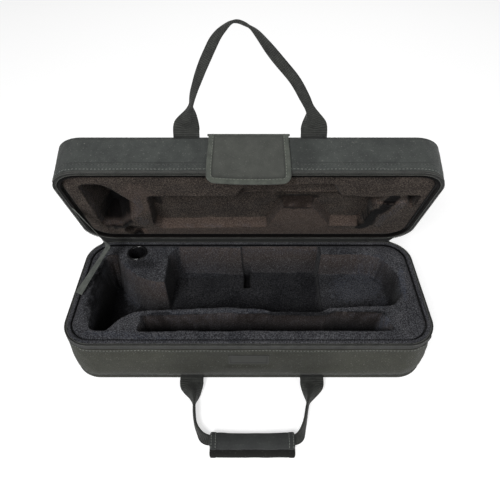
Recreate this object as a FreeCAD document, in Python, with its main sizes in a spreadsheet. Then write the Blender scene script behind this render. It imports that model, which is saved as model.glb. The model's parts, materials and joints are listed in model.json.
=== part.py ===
import FreeCAD, Part
import Sketcher
import math
import os
from types import SimpleNamespace

Vector = FreeCAD.Vector
X_AXIS = Vector(1, 0, 0)
Z_AXIS = Vector(0, 0, 1)

doc = FreeCAD.newDocument("instrument_case")

# Driving sizes, in millimetres and degrees.
# The origin is the centre of the underside. X runs along the case, Y to the hinge, Z up.
driving_sizes = {
    "case_length": 580.0,
    "case_depth": 228.0,
    "base_height": 98.0,
    "lid_height": 62.4,
    "rim_gap": 0.6,
    "corner_radius": 47.0,
    "lid_open_angle": 67.75,
    # outer cloth, seams and boards
    "cloth": 1.0,
    "layer_gap": 0.1,
    "bottom_round": 10.0,
    "cord_diameter": 2.4,
    "base_seam_height": 11.0,
    "wall_thickness": 9.4,
    "floor_board": 5.0,
    "top_board": 4.0,
    # zip and rim
    "base_tape_width": 10.6,
    "lid_tape_width": 5.4,
    "tape_thickness": 0.8,
    "coil_height": 1.8,
    "rim_lining": 2.0,
    # spine and zip sliders at the back
    "spine_from_corner": 19.0,
    "spine_arm": 17.0,
    "spine_cloth": 1.0,
    "slider_from_spine": 9.0,
    "slider_length": 12.0,
    "slider_height": 9.0,
    "slider_thickness": 3.6,
    "slider_drop": 2.2,
    "bridge_radius": 0.8,
    "bridge_gap": 4.0,
    "bridge_post": 1.2,
    "pull_clearance": 0.08,
    "pull_eye_radius": 2.0,
    "pull_length": 27.0,
    "pull_width": 6.0,
    "pull_thickness": 1.4,
    # foam bed of the base
    "bed_gap": 0.8,
    "bed_drop": 3.0,
    "flare_floor": 22.0,
    "main_floor": 30.0,
    "end_floor": 50.0,
    "slot_floor": 45.0,
    "side_notch_floor": 18.0,
    # foam insert of the lid, depths from its lining
    "insert_drop": 5.4,
    "lid_flare_depth": 44.0,
    "lid_main_depth": 18.0,
    "lid_shallow_depth": 8.0,
    "lid_pocket_depth": 26.0,
    "lid_shelf_depth": 4.0,
    "lid_notch_depth": 12.0,
    "lid_round_depth": 12.0,
    "lid_round_radius": 20.0,
    # round holder cup
    "cup_from_end": 89.0,
    "cup_from_back": 30.5,
    "cup_bore_radius": 14.5,
    "cup_wall": 1.3,
    "cup_depth": 40.0,
    "cup_floor": 1.5,
    "cup_flange_radius": 18.0,
    "cup_flange": 1.6,
    "cup_clearance": 0.2,
    # blank label on the front
    "label_width": 64.0,
    "label_height": 24.5,
    "label_low": 46.5,
    "label_thickness": 0.9,
    "label_border": 2.4,
    "label_emboss": 0.4,
    # front flap of the lid
    "flap_width": 119.0,
    "flap_reach_below_rim": 15.5,
    "flap_corner": 12.0,
    "flap_thickness": 3.6,
    "flap_layer": 1.1,
    "flap_binding": 8.0,
    "flap_root": 12.0,
    "flap_root_thickness": 1.8,
    "flap_wall_gap": 1.9,
    "flap_seam_gap": 0.3,
    # webbing handles
    "webbing_width": 38.0,
    "webbing_root": 2.0,
    "folded_width": 14.0,
    "folded_thickness": 5.0,
    "taper_length": 27.0,
    "handle_seam_gap": 0.96,
    "tab_length": 4.0,
    "lid_handle_tilt": 42.0,
    "lid_handle_height": 148.0,
    "base_handle_reach": 98.6,
    "base_handle_droop": 2.67,
    "handle_half_spread": 93.0,
    # wrap round grip on the base handle
    "grip_length": 126.0,
    "grip_shift": 5.5,
    "grip_from_wall": 95.5,
    "grip_pad": 3.2,
    "grip_depth": 33.5,
    "grip_flap_depth": 23.5,
    "grip_back_wall": 2.5,
    "grip_clearance": 0.3,
    "grip_space": 6.2,
    "grip_lip": 5.5,
    "grip_tape": 0.8,
    "grip_corner": 4.0,
    # stay strap between the left rims
    "stay_width": 15.0,
    "stay_thickness": 1.0,
    "stay_from_hinge": 128.0,
    "stay_inset": 8.0,
    "stay_seat_gap": 0.05,
    "stay_fold_in": 40.0,
    "stay_fold_back": 80.0,
    "stay_fold_up": 32.0,
    # one overrun for every cut that goes right through a face
    "overrun": 2.0,
}

# Sizes that follow from the driving ones.
derived_sizes = {
    "lid_rim": "=base_height + rim_gap",
    "case_top": "=base_height + rim_gap + lid_height",
    "hinge_height": "=base_height + rim_gap / 2",
    "spine_half_length": "=case_length / 2 - corner_radius - spine_from_corner",
    "frame_inset": "=cloth + layer_gap",
    "bed_inset": "=cloth + layer_gap + wall_thickness + bed_gap",
    "board_inset": "=cloth + 2 * layer_gap + wall_thickness",
    "cord_radius": "=cord_diameter / 2",
    "cord_inset": "=cloth + layer_gap - cord_diameter / 2",
    "base_band_low": "=base_seam_height + cord_diameter / 2 + layer_gap",
    "base_band_high": "=base_height - base_tape_width",
    "base_frame_top": "=base_height - rim_lining - layer_gap",
    "board_top": "=cloth + layer_gap + floor_board",
    "bed_low": "=cloth + 2 * layer_gap + floor_board",
    "bed_top": "=base_height - bed_drop",
    "lid_band_low": "=base_height + rim_gap + lid_tape_width",
    "lid_cord_height": "=base_height + rim_gap + lid_height - cord_diameter / 2",
    "lid_band_high": "=base_height + rim_gap + lid_height - cord_diameter - layer_gap",
    "lid_panel_low": "=base_height + rim_gap + lid_height - cloth",
    "lid_board_high": "=base_height + rim_gap + lid_height - cloth - layer_gap",
    "lid_board_low": "=base_height + rim_gap + lid_height - cloth - layer_gap - top_board",
    "insert_low": "=base_height + rim_gap + insert_drop",
    "insert_high": "=base_height + rim_gap + lid_height - cloth - 2 * layer_gap - top_board",
    "lid_frame_low": "=base_height + rim_gap + rim_lining + layer_gap",
    "tape_inset": "=cloth - tape_thickness",
}

# The sheet
sheet = doc.addObject("Spreadsheet::Sheet", "sizes")
all_cells = list(driving_sizes.items()) + list(derived_sizes.items())
for row, (alias, content) in enumerate(all_cells, start=1):
    sheet.set(f"A{row}", alias)
    sheet.set(f"B{row}", str(content))
    sheet.setAlias(f"B{row}", alias)
doc.recompute()
v = SimpleNamespace(**{alias: float(sheet.get(alias)) for alias, content in all_cells})

half_length = v.case_length / 2
half_depth = v.case_depth / 2

# The lid turns about the hinge line along the top of the back wall.
hinge_point = Vector(0, half_depth, v.hinge_height)
lid_placement = FreeCAD.Placement(
    Vector(0, 0, 0), FreeCAD.Rotation(X_AXIS, -v.lid_open_angle), hinge_point)
no_placement = FreeCAD.Placement()

nodes = {}


def keep(name, item, placement=no_placement):
    """Labels a finished sub-part with its file's name and puts it in its place."""
    item.Label = name
    item.Placement = placement
    nodes[name] = item
    return item


def plane_of(body, role):
    for feature in body.Origin.OriginFeatures:
        if feature.Role == role:
            return feature
    raise RuntimeError("no plane " + role)


def flat_sketch(body, name, height):
    """A sketch on the body's XY plane, lifted to a height given as an expression."""
    sketch = body.newObject("Sketcher::SketchObject", name)
    sketch.AttachmentSupport = [(plane_of(body, "XY_Plane"), "")]
    sketch.MapMode = "FlatFace"
    sketch.setExpression(".AttachmentOffset.Base.z", height)
    return sketch


def bind(sketch, tag, constraint, expression):
    index = sketch.addConstraint(constraint)
    sketch.renameConstraint(index, tag)
    sketch.setExpression("Constraints." + tag, expression)


def plan_loop(sketch, tag, inset):
    """The case's plan outline, a rounded rectangle about the origin, drawn in by an inset."""
    a, b, r = half_length, half_depth, v.corner_radius
    first = sketch.GeometryCount
    corners = [(a - r, -b + r, 270), (a - r, b - r, 0), (-a + r, b - r, 90), (-a + r, -b + r, 180)]
    sides = [((-a + r, -b), (a - r, -b)), ((a, -b + r), (a, b - r)),
             ((a - r, b), (-a + r, b)), ((-a, b - r), (-a, -b + r))]
    for (start, end), (cx, cy, angle) in zip(sides, corners):
        sketch.addGeometry(Part.LineSegment(Vector(*start, 0), Vector(*end, 0)))
        circle = Part.Circle(Vector(cx, cy, 0), Z_AXIS, r)
        sketch.addGeometry(Part.ArcOfCircle(circle, math.radians(angle), math.radians(angle + 90)))
    lines = [first, first + 2, first + 4, first + 6]
    arcs = [first + 1, first + 3, first + 5, first + 7]
    for k in range(4):
        sketch.addConstraint(Sketcher.Constraint("Tangent", lines[k], 2, arcs[k], 1))
        sketch.addConstraint(Sketcher.Constraint("Tangent", arcs[k], 2, lines[(k + 1) % 4], 1))
    for k in (0, 2):
        sketch.addConstraint(Sketcher.Constraint("Horizontal", lines[k]))
        sketch.addConstraint(Sketcher.Constraint("Vertical", lines[k + 1]))
    for k in range(1, 4):
        sketch.addConstraint(Sketcher.Constraint("Equal", arcs[0], arcs[k]))
    sketch.addConstraint(Sketcher.Constraint("Symmetric", lines[0], 1, lines[2], 1, -1, 1))
    bind(sketch, tag + "_length",
         Sketcher.Constraint("DistanceX", lines[3], 1, lines[1], 1, 2 * a),
         f"sizes.case_length - 2 * ({inset})")
    bind(sketch, tag + "_depth",
         Sketcher.Constraint("DistanceY", lines[0], 1, lines[2], 1, 2 * b),
         f"sizes.case_depth - 2 * ({inset})")
    bind(sketch, tag + "_radius",
         Sketcher.Constraint("Radius", arcs[0], r), f"sizes.corner_radius - ({inset})")


def box_loop(sketch, tag, x_low, x_high, y_low, y_high):
    """A rectangle whose four sides are placed from the origin by expressions."""
    first = sketch.GeometryCount
    p = [Vector(-1, -1, 0), Vector(1, -1, 0), Vector(1, 1, 0), Vector(-1, 1, 0)]
    for k in range(4):
        sketch.addGeometry(Part.LineSegment(p[k], p[(k + 1) % 4]))
    for k in range(4):
        sketch.addConstraint(
            Sketcher.Constraint("Coincident", first + k, 2, first + (k + 1) % 4, 1))
    for k in (0, 2):
        sketch.addConstraint(Sketcher.Constraint("Horizontal", first + k))
        sketch.addConstraint(Sketcher.Constraint("Vertical", first + k + 1))
    bind(sketch, tag + "_x_low",
         Sketcher.Constraint("DistanceX", -1, 1, first, 1, -1), x_low)
    bind(sketch, tag + "_y_low",
         Sketcher.Constraint("DistanceY", -1, 1, first, 1, -1), y_low)
    bind(sketch, tag + "_x_high",
         Sketcher.Constraint("DistanceX", -1, 1, first + 2, 1, 1), x_high)
    bind(sketch, tag + "_y_high",
         Sketcher.Constraint("DistanceY", -1, 1, first + 2, 1, 1), y_high)


def pad_between(body, sketch, name, low, high):
    pad = body.newObject("PartDesign::Pad", name)
    pad.Profile = sketch
    pad.setExpression("Length", f"({high}) - ({low})")
    return pad


def plan_layer(name, low, high, outer, inner=None):
    """A slab, or a ring when an inner inset is given, that follows the plan outline."""
    body = doc.addObject("PartDesign::Body", name)
    sketch = flat_sketch(body, name + "_outline", low)
    plan_loop(sketch, "outer", outer)
    if inner:
        plan_loop(sketch, "inner", inner)
    pad_between(body, sketch, name + "_pad", low, high)
    doc.recompute()
    return body


def panel(name, x_low, x_high, y_low, y_high, z_low, z_high):
    """A flat rectangular piece."""
    body = doc.addObject("PartDesign::Body", name)
    sketch = flat_sketch(body, name + "_outline", z_low)
    box_loop(sketch, "side", x_low, x_high, y_low, y_high)
    pad_between(body, sketch, name + "_pad", z_low, z_high)
    doc.recompute()
    return body


def edge_names(shape, wanted):
    return [f"Edge{k}" for k, edge in enumerate(shape.Edges, start=1) if wanted(edge)]


def face_at_height(shape, height):
    for k, face in enumerate(shape.Faces, start=1):
        box = face.BoundBox
        if abs(box.ZMin - height) < box.DiagonalLength * 1e-6 > abs(box.ZMax - height):
            return k, face
    raise RuntimeError("no face at that height")


def round_edges(body, name, names, radius):
    base = body.Tip
    fillet = body.newObject("PartDesign::Fillet", name)
    fillet.Base = (base, names)
    fillet.setExpression("Radius", radius)
    doc.recompute()
    return fillet


def round_rim(body, name, height, radius):
    """Rounds the outer edge of the face that lies at a height."""
    index, face = face_at_height(body.Shape, height)
    rim = face.OuterWire.Edges
    names = edge_names(body.Shape, lambda edge: any(edge.isSame(one) for one in rim))
    return round_edges(body, name, names, radius)


def round_corners(body, name, corners, radius):
    """Rounds the upright edges that stand at the given plan points."""
    def wanted(edge):
        box = edge.BoundBox
        return any(math.hypot(box.Center.x - x, box.Center.y - y) < box.DiagonalLength * 1e-3
                   for x, y in corners) and box.ZLength > box.XLength + box.YLength
    return round_edges(body, name, edge_names(body.Shape, wanted), radius)


def hollow_from(body, name, height, wall):
    """Hollows a solid from the face at a height, leaving a wall of even thickness."""
    index, face = face_at_height(body.Shape, height)
    base = body.Tip
    shell = body.newObject("PartDesign::Thickness", name)
    shell.Base = (base, [f"Face{index}"])
    shell.setExpression("Value", wall)
    shell.Reversed = True
    doc.recompute()
    return shell


def clear_inside(body, name, inset):
    """Cuts right through a slab, inside the plan outline drawn in by an inset."""
    sketch = flat_sketch(body, name + "_outline", "0")
    plan_loop(sketch, "inside", inset)
    pocket = body.newObject("PartDesign::Pocket", name)
    pocket.Profile = sketch
    pocket.Type = "ThroughAll"
    pocket.Midplane = True
    doc.recompute()
    return pocket


def open_back(body, name, half_width):
    """Cuts a ring open along the straight of its back wall."""
    sketch = flat_sketch(body, name + "_outline", "0")
    box_loop(sketch, "gap", f"-({half_width})", half_width,
             "0", "sizes.case_depth / 2 + sizes.overrun")
    pocket = body.newObject("PartDesign::Pocket", name)
    pocket.Profile = sketch
    pocket.Type = "ThroughAll"
    pocket.Midplane = True
    doc.recompute()
    return pocket


def cut(name, base, tool):
    result = doc.addObject("Part::Cut", name)
    result.Base = base
    result.Tool = tool
    doc.recompute()
    return result


def fused(name, pieces):
    result = doc.addObject("Part::MultiFuse", name)
    result.Shapes = pieces
    result.Refine = True
    doc.recompute()
    return result


def feature(name, shape, placement=no_placement):
    item = doc.addObject("Part::Feature", name)
    item.Shape = shape
    item.Placement = placement
    return item


def seam_cord(name, height):
    """The corded seam: four straight runs and four quarter turns round the plan outline."""
    pieces = []
    reach_x = "sizes.case_length / 2 - sizes.cord_inset"
    reach_y = "sizes.case_depth / 2 - sizes.cord_inset"
    turn = "(sizes.corner_radius - sizes.cord_inset)"
    for k, (sx, sy) in enumerate(((1, 1), (-1, 1), (-1, -1), (1, -1))):
        corner = doc.addObject("Part::Torus", f"{name}_turn{k}")
        corner.setExpression("Radius1", turn)
        corner.setExpression("Radius2", "sizes.cord_radius")
        corner.Angle1 = -180
        corner.Angle2 = 180
        corner.Angle3 = 90
        corner.Placement.Rotation = FreeCAD.Rotation(Z_AXIS, 90 * k)
        corner.setExpression("Placement.Base.x", f"{sx} * ({reach_x} - {turn})")
        corner.setExpression("Placement.Base.y", f"{sy} * ({reach_y} - {turn})")
        corner.setExpression("Placement.Base.z", height)
        pieces.append(corner)
    for k, side in enumerate((-1, 1)):
        along = doc.addObject("Part::Cylinder", f"{name}_long{k}")
        along.setExpression("Radius", "sizes.cord_radius")
        along.setExpression("Height", f"2 * ({reach_x} - {turn})")
        along.Placement.Rotation = FreeCAD.Rotation(Vector(0, 1, 0), 90)
        along.setExpression("Placement.Base.x", f"-({reach_x} - {turn})")
        along.setExpression("Placement.Base.y", f"{side} * ({reach_y})")
        along.setExpression("Placement.Base.z", height)
        across = doc.addObject("Part::Cylinder", f"{name}_short{k}")
        across.setExpression("Radius", "sizes.cord_radius")
        across.setExpression("Height", f"2 * ({reach_y} - {turn})")
        across.Placement.Rotation = FreeCAD.Rotation(X_AXIS, -90)
        across.setExpression("Placement.Base.x", f"{side} * ({reach_x})")
        across.setExpression("Placement.Base.y", f"-({reach_y} - {turn})")
        across.setExpression("Placement.Base.z", height)
        pieces += [along, across]
    return fused(name, pieces)


def rounded_path(points, shares, closed):
    """A flat path of straight runs, with a tangent arc at each corner. The arc starts at a
    share of the shorter of the corner's two runs."""
    count = len(points)
    edges = []
    entries = []
    for k in range(count):
        here = points[k]
        if not closed and k in (0, count - 1):
            entries.append((here, None, here))
            continue
        before = points[k - 1] - here
        after = points[(k + 1) % count] - here
        setback = shares[k] * min(before.Length, after.Length)
        half_turn = before.getAngle(after) / 2
        radius = setback * math.tan(half_turn)
        before.normalize()
        after.normalize()
        bisector = (before + after).normalize()
        centre = here + bisector * (radius / math.sin(half_turn))
        entries.append((here + before * setback, centre - bisector * radius, here + after * setback))
    for k in range(count):
        enter, middle, leave = entries[k]
        if middle is not None:
            edges.append(Part.Arc(enter, middle, leave).toShape())
        if closed or k < count - 1:
            edges.append(Part.LineSegment(leave, entries[(k + 1) % count][0]).toShape())
    return Part.Wire(edges)


def recess(name, shares, low, high):
    """An upright-sided recess. Its outline is in shares of the half length and the half
    depth, with each corner's share of its runs."""
    points = [Vector(x * half_length, y * half_depth, low) for x, y, corner in shares]
    face = Part.Face(rounded_path(points, [corner for x, y, corner in shares], True))
    return feature(name, face.extrude(Vector(0, 0, high - low)))


# Base: boards and outer cloth
keep("base_floor_board", plan_layer(
    "base_floor_board", "sizes.frame_inset", "sizes.board_top", "sizes.board_inset"))

base_frame = plan_layer("base_wall_frame", "sizes.frame_inset", "sizes.base_frame_top",
                        "sizes.frame_inset")
round_rim(base_frame, "base_wall_round", v.frame_inset, "sizes.bottom_round - sizes.frame_inset")
clear_inside(base_frame, "base_wall_inside", "sizes.frame_inset + sizes.wall_thickness")
keep("base_wall_frame", base_frame)

base_bottom = plan_layer("base_bottom_panel", "0",
                         "sizes.base_seam_height - sizes.cord_radius - sizes.layer_gap", "0")
round_rim(base_bottom, "base_bottom_round", 0,
          "min(sizes.bottom_round; sizes.base_seam_height - sizes.cord_radius - 2 * sizes.layer_gap)")
hollow_from(base_bottom, "base_bottom_hollow",
            v.base_seam_height - v.cord_radius - v.layer_gap, "sizes.cloth")
keep("base_bottom_panel", base_bottom)

keep("base_side_band", plan_layer(
    "base_side_band", "sizes.base_band_low", "sizes.base_band_high", "0", "sizes.cloth"))
keep("base_seam_cord", seam_cord("base_seam_cord", "sizes.base_seam_height"))

zip_half_gap = "(sizes.spine_half_length + sizes.slider_from_spine + sizes.slider_length / 2)"
base_tape = plan_layer("base_zip_tape", "sizes.base_band_high + sizes.layer_gap",
                       "sizes.base_height - sizes.coil_height - sizes.layer_gap",
                       "sizes.tape_inset", "sizes.cloth")
open_back(base_tape, "base_tape_gap", "sizes.spine_half_length")
keep("base_zip_tape", base_tape)
base_coil = plan_layer("base_zip_coil", "sizes.base_height - sizes.coil_height",
                       "sizes.base_height", "0", "sizes.cloth")
open_back(base_coil, "base_coil_gap", zip_half_gap)
keep("base_zip_coil", base_coil)
keep("base_rim_lining", plan_layer(
    "base_rim_lining", "sizes.base_height - sizes.rim_lining", "sizes.base_height",
    "sizes.frame_inset", "sizes.frame_inset + sizes.wall_thickness"))

# Base: plush foam bed with its recesses
flare_shares = [(-0.865, -0.737, 0.48), (-0.772, -0.750, 0.18), (-0.710, -0.545, 0.17),
                (-0.640, -0.430, 0.20), (-0.552, -0.392, 0.03), (-0.450, -0.386, 0.08),
                (-0.450, 0.105, 0.06), (-0.570, 0.122, 0.16), (-0.655, 0.220, 0.12),
                (-0.735, 0.395, 0.08), (-0.790, 0.560, 0.17), (-0.812, 0.680, 0.32),
                (-0.885, 0.670, 0.48)]
main_shares = [(-0.500, -0.386, 0.05), (-0.128, -0.346, 0.02), (0.075, -0.368, 0.14),
               (0.131, -0.424, 0.10), (0.407, -0.424, 0.19), (0.448, -0.360, 0.09),
               (0.448, 0.640, 0.01), (0.441, 0.880, 0.13), (-0.044, 0.880, 0.29),
               (-0.050, 0.830, 0.31), (-0.445, 0.880, 0.21), (-0.493, 0.667, 0.09),
               (-0.493, 0.105, 0.41), (-0.500, 0.090, 0.08)]
end_shares = [(0.400, -0.360, 0.14), (0.462, -0.351, 0.01), (0.817, -0.304, 0.41),
              (0.872, -0.130, 0.31), (0.886, 0.150, 0.20), (0.862, 0.440, 0.36),
              (0.800, 0.620, 0.30), (0.715, 0.689, 0.11), (0.400, 0.689, 0.03)]
slot_shares = [(-0.601, -0.754, 0.21), (0.784, -0.745, 0.20), (0.736, -0.463, 0.09),
               (0.486, -0.443, 0.10), (0.424, -0.508, 0.10), (0.131, -0.508, 0.18),
               (0.100, -0.478, 0.17), (-0.125, -0.468, 0.01), (-0.581, -0.518, 0.13)]
side_notch_shares = [(-0.043, 0.474, 0.13), (0.020, 0.474, 0.13), (0.020, 0.878, 0.13),
                     (-0.043, 0.878, 0.13)]

bed_over = v.bed_top + v.overrun
cup_x = -half_length + v.cup_from_end
cup_y = half_depth - v.cup_from_back
cup_outer = v.cup_bore_radius + v.cup_wall


def upright_cylinder(name, radius, x, y, low, high):
    cylinder = doc.addObject("Part::Cylinder", name)
    cylinder.Radius = radius
    cylinder.Height = high - low
    cylinder.Placement.Base = Vector(x, y, low)
    return cylinder


bed_blank = plan_layer("bed_blank", "sizes.bed_low", "sizes.bed_top", "sizes.bed_inset")
bed_tools = fused("bed_recesses", [
    recess("flare_recess", flare_shares, v.flare_floor, bed_over),
    recess("main_recess", main_shares, v.main_floor, bed_over),
    recess("end_recess", end_shares, v.end_floor, bed_over),
    recess("side_notch", side_notch_shares, v.side_notch_floor, bed_over)])
bed_slot = recess("accessory_slot", slot_shares, v.slot_floor, bed_over)
cup_seat_low = v.bed_top - v.cup_depth - v.cup_floor - v.cup_clearance
cup_seat = upright_cylinder("cup_seat", cup_outer + v.cup_clearance,
                            cup_x, cup_y, cup_seat_low, bed_over)
bed_cut = cut("bed_cut", bed_blank, bed_tools)
bed_slotted = cut("bed_slotted", bed_cut, bed_slot)
keep("base_foam_bed", cut("base_foam_bed", bed_slotted, cup_seat))

# Round holder cup: a flange on the plush and a blind tube in the foam
cup_tube = upright_cylinder("cup_tube", cup_outer, cup_x, cup_y,
                            v.bed_top - v.cup_depth - v.cup_floor, v.bed_top)
cup_flange = upright_cylinder("cup_flange_disc", v.cup_flange_radius, cup_x, cup_y,
                              v.bed_top, v.bed_top + v.cup_flange)
cup_body = fused("cup_body", [cup_tube, cup_flange])
cup_bore = upright_cylinder("cup_bore", v.cup_bore_radius, cup_x, cup_y,
                            v.bed_top - v.cup_depth, bed_over)
keep("holder_cup", cut("holder_cup", cup_body, cup_bore))

# Blank label: a raised border round a plain field
label_outer = panel("label_plate", "-sizes.label_width / 2", "sizes.label_width / 2",
                    "sizes.label_low", "sizes.label_low + sizes.label_height",
                    "0", "sizes.label_thickness")
label_field = panel("label_field", "-sizes.label_width / 2 + sizes.label_border",
                    "sizes.label_width / 2 - sizes.label_border",
                    "sizes.label_low + sizes.label_border",
                    "sizes.label_low + sizes.label_height - sizes.label_border",
                    "sizes.label_thickness - sizes.label_emboss",
                    "sizes.label_thickness + sizes.overrun")
label = cut("front_label", label_outer, label_field)
keep("front_label", label, FreeCAD.Placement(
    Vector(0, -half_depth, 0), FreeCAD.Rotation(X_AXIS, 90)))

# Spine cloth over the hinge line, its lid half turned open with the lid
spine_base = panel("spine_base_arm", "-sizes.spine_half_length", "sizes.spine_half_length",
                   "sizes.case_depth / 2", "sizes.case_depth / 2 + sizes.spine_cloth",
                   "sizes.hinge_height - sizes.spine_arm", "sizes.hinge_height")
spine_lid = panel("spine_lid_arm", "-sizes.spine_half_length", "sizes.spine_half_length",
                  "sizes.case_depth / 2 + sizes.stay_seat_gap",
                  "sizes.case_depth / 2 + sizes.stay_seat_gap + sizes.spine_cloth",
                  "sizes.hinge_height", "sizes.hinge_height + sizes.spine_arm")
spine_lid.Placement = lid_placement
keep("hinge_spine_cloth", fused("hinge_spine_cloth", [spine_base, spine_lid]))

# Zip sliders, parked at the two ends of the open zip, and their hanging pulls
slider_top = v.base_height - v.slider_drop
slider_face = half_depth + v.cloth - v.tape_thickness + v.slider_thickness
bridge_y = slider_face + v.pull_eye_radius + v.layer_gap
bridge_z = slider_top - v.slider_height / 2


def turned_cylinder(radius, low_x, high_x):
    """A round bar along X on the bridge line."""
    return Part.makeCylinder(radius, high_x - low_x, Vector(low_x, bridge_y, bridge_z), X_AXIS)


def zip_slider(side):
    centre = side * (v.spine_half_length + v.slider_from_spine)
    name = "zip_slider_left" if side < 0 else "zip_slider_right"
    low_y = half_depth + v.layer_gap + v.spine_cloth / 4
    body = Part.makeBox(v.slider_length, slider_face - low_y, v.slider_height,
                        Vector(centre - v.slider_length / 2, low_y, slider_top - v.slider_height))
    upright = [e for e in body.Edges if e.BoundBox.YLength > e.BoundBox.XLength + e.BoundBox.ZLength]
    body = body.makeFillet(v.slider_height / 4, upright)
    half_gap = v.bridge_gap / 2
    posts = []
    for low_x in (centre - half_gap - v.bridge_post, centre + half_gap):
        posts.append(Part.makeBox(
            v.bridge_post, bridge_y + v.bridge_radius - slider_face + v.slider_thickness / 4,
            v.pull_eye_radius, Vector(low_x, slider_face - v.slider_thickness / 4,
                                      bridge_z - v.pull_eye_radius / 2)))
    bar = turned_cylinder(v.bridge_radius, centre - half_gap - v.bridge_post / 2,
                          centre + half_gap + v.bridge_post / 2)
    keep(name, feature(name, body.multiFuse(posts + [bar]).removeSplitter()))


def zip_pull(side):
    centre = side * (v.spine_half_length + v.slider_from_spine)
    name = "zip_pull_left" if side < 0 else "zip_pull_right"
    half_eye = v.bridge_gap / 2 - v.pull_clearance * 3
    eye = turned_cylinder(v.pull_eye_radius, centre - half_eye, centre + half_eye)
    neck_width = 2 * half_eye
    plate_top = bridge_z - v.pull_eye_radius - v.bridge_post
    neck = Part.makeBox(neck_width, v.pull_thickness, bridge_z - plate_top,
                        Vector(centre - half_eye, bridge_y - v.pull_thickness / 2, plate_top))
    plate = Part.makeBox(v.pull_width, v.pull_thickness, v.pull_length,
                         Vector(centre - v.pull_width / 2, bridge_y - v.pull_thickness / 2,
                                plate_top - v.pull_length))
    across = [e for e in plate.Edges if e.BoundBox.YLength > e.BoundBox.XLength + e.BoundBox.ZLength]
    plate = plate.makeFillet(v.pull_width / 4, across)
    bore = turned_cylinder(v.bridge_radius + v.pull_clearance,
                           centre - v.bridge_gap, centre + v.bridge_gap)
    keep(name, feature(name, eye.multiFuse([neck, plate]).cut(bore).removeSplitter()))


for side in (-1, 1):
    zip_slider(side)
    zip_pull(side)

# Lid, modelled shut and turned open about the hinge line
lid_frame = plan_layer("lid_wall_frame", "sizes.lid_frame_low", "sizes.lid_board_high",
                       "sizes.frame_inset", "sizes.frame_inset + sizes.wall_thickness")
keep("lid_wall_frame", lid_frame, lid_placement)
keep("lid_top_board", plan_layer(
    "lid_top_board", "sizes.lid_board_low", "sizes.lid_board_high", "sizes.board_inset"),
    lid_placement)
keep("lid_top_panel", plan_layer(
    "lid_top_panel", "sizes.lid_panel_low", "sizes.case_top",
    "sizes.cord_inset + sizes.cord_radius + sizes.layer_gap"), lid_placement)
keep("lid_side_band", plan_layer(
    "lid_side_band", "sizes.lid_band_low", "sizes.lid_band_high", "0", "sizes.cloth"),
    lid_placement)
keep("lid_seam_cord", seam_cord("lid_seam_cord", "sizes.lid_cord_height"), lid_placement)
lid_tape = plan_layer("lid_zip_tape", "sizes.lid_rim + sizes.coil_height + sizes.layer_gap",
                      "sizes.lid_band_low - sizes.layer_gap", "sizes.tape_inset", "sizes.cloth")
open_back(lid_tape, "lid_tape_gap", "sizes.spine_half_length")
keep("lid_zip_tape", lid_tape, lid_placement)
lid_coil = plan_layer("lid_zip_coil", "sizes.lid_rim", "sizes.lid_rim + sizes.coil_height",
                      "0", "sizes.cloth")
open_back(lid_coil, "lid_coil_gap", zip_half_gap)
keep("lid_zip_coil", lid_coil, lid_placement)
keep("lid_rim_lining", plan_layer(
    "lid_rim_lining", "sizes.lid_rim", "sizes.lid_rim + sizes.rim_lining",
    "sizes.frame_inset", "sizes.frame_inset + sizes.wall_thickness"), lid_placement)

# Lid: plush foam insert with its recesses
lid_flare_shares = [(-0.876, -0.680, 0.45), (-0.765, -0.672, 0.33), (-0.725, -0.580, 0.25),
                    (-0.683, -0.386, 0.04), (-0.603, -0.079, 0.32), (-0.593, 0.044, 0.40),
                    (-0.634, 0.210, 0.07), (-0.724, 0.435, 0.06), (-0.765, 0.560, 0.25),
                    (-0.876, 0.545, 0.41)]
lid_main_shares = [(-0.545, -0.354, 0.09), (-0.060, -0.372, 0.01), (0.490, -0.392, 0.01),
                   (0.734, -0.330, 0.44), (0.690, -0.090, 0.17), (0.693, 0.140, 0.06),
                   (0.676, 0.460, 0.12), (0.660, 0.550, 0.13), (0.486, 0.550, 0.03),
                   (0.352, -0.052, 0.03), (0.195, -0.070, 0.04), (0.110, 0.600, 0.04),
                   (-0.530, 0.640, 0.28), (-0.566, 0.520, 0.20)]
lid_shallow_shares = [(-0.075, -0.340, 0.11), (-0.020, -0.625, 0.23), (0.438, -0.702, 0.15),
                      (0.500, -0.360, 0.08)]
lid_pocket_shares = [(0.135, -0.270, 0.43), (0.480, -0.270, 0.23), (0.480, -0.180, 0.23),
                     (0.200, -0.180, 0.03)]
lid_shelf_shares = [(0.690, -0.350, 0.11), (0.910, -0.392, 0.25), (0.905, -0.200, 0.30),
                    (0.795, -0.120, 0.07), (0.700, -0.150, 0.08)]
lid_notch_shares = [(0.836, -0.330, 0.12), (0.916, -0.385, 0.13), (0.912, 0.020, 0.38)]

insert_under = v.insert_low - v.overrun
insert_blank = plan_layer("insert_blank", "sizes.insert_low", "sizes.insert_high",
                          "sizes.bed_inset")
insert_tools = fused("insert_recesses", [
    recess("lid_main_recess", lid_main_shares, insert_under, v.insert_low + v.lid_main_depth),
    recess("lid_shallow_recess", lid_shallow_shares, insert_under,
           v.insert_low + v.lid_shallow_depth),
    recess("lid_pocket", lid_pocket_shares, insert_under, v.insert_low + v.lid_pocket_depth),
    recess("lid_shelf", lid_shelf_shares, insert_under, v.insert_low + v.lid_shelf_depth),
    recess("lid_notch", lid_notch_shares, insert_under, v.insert_low + v.lid_notch_depth)])
insert_flare = recess("lid_flare_recess", lid_flare_shares, insert_under,
                      v.insert_low + v.lid_flare_depth)
insert_round = upright_cylinder("lid_round_recess", v.lid_round_radius, cup_x, cup_y,
                                insert_under, v.insert_low + v.lid_round_depth)
insert_cut = cut("insert_cut", insert_blank, insert_tools)
insert_flared = cut("insert_flared", insert_cut, insert_flare)
keep("lid_foam_insert", cut("lid_foam_insert", insert_flared, insert_round), lid_placement)

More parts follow.
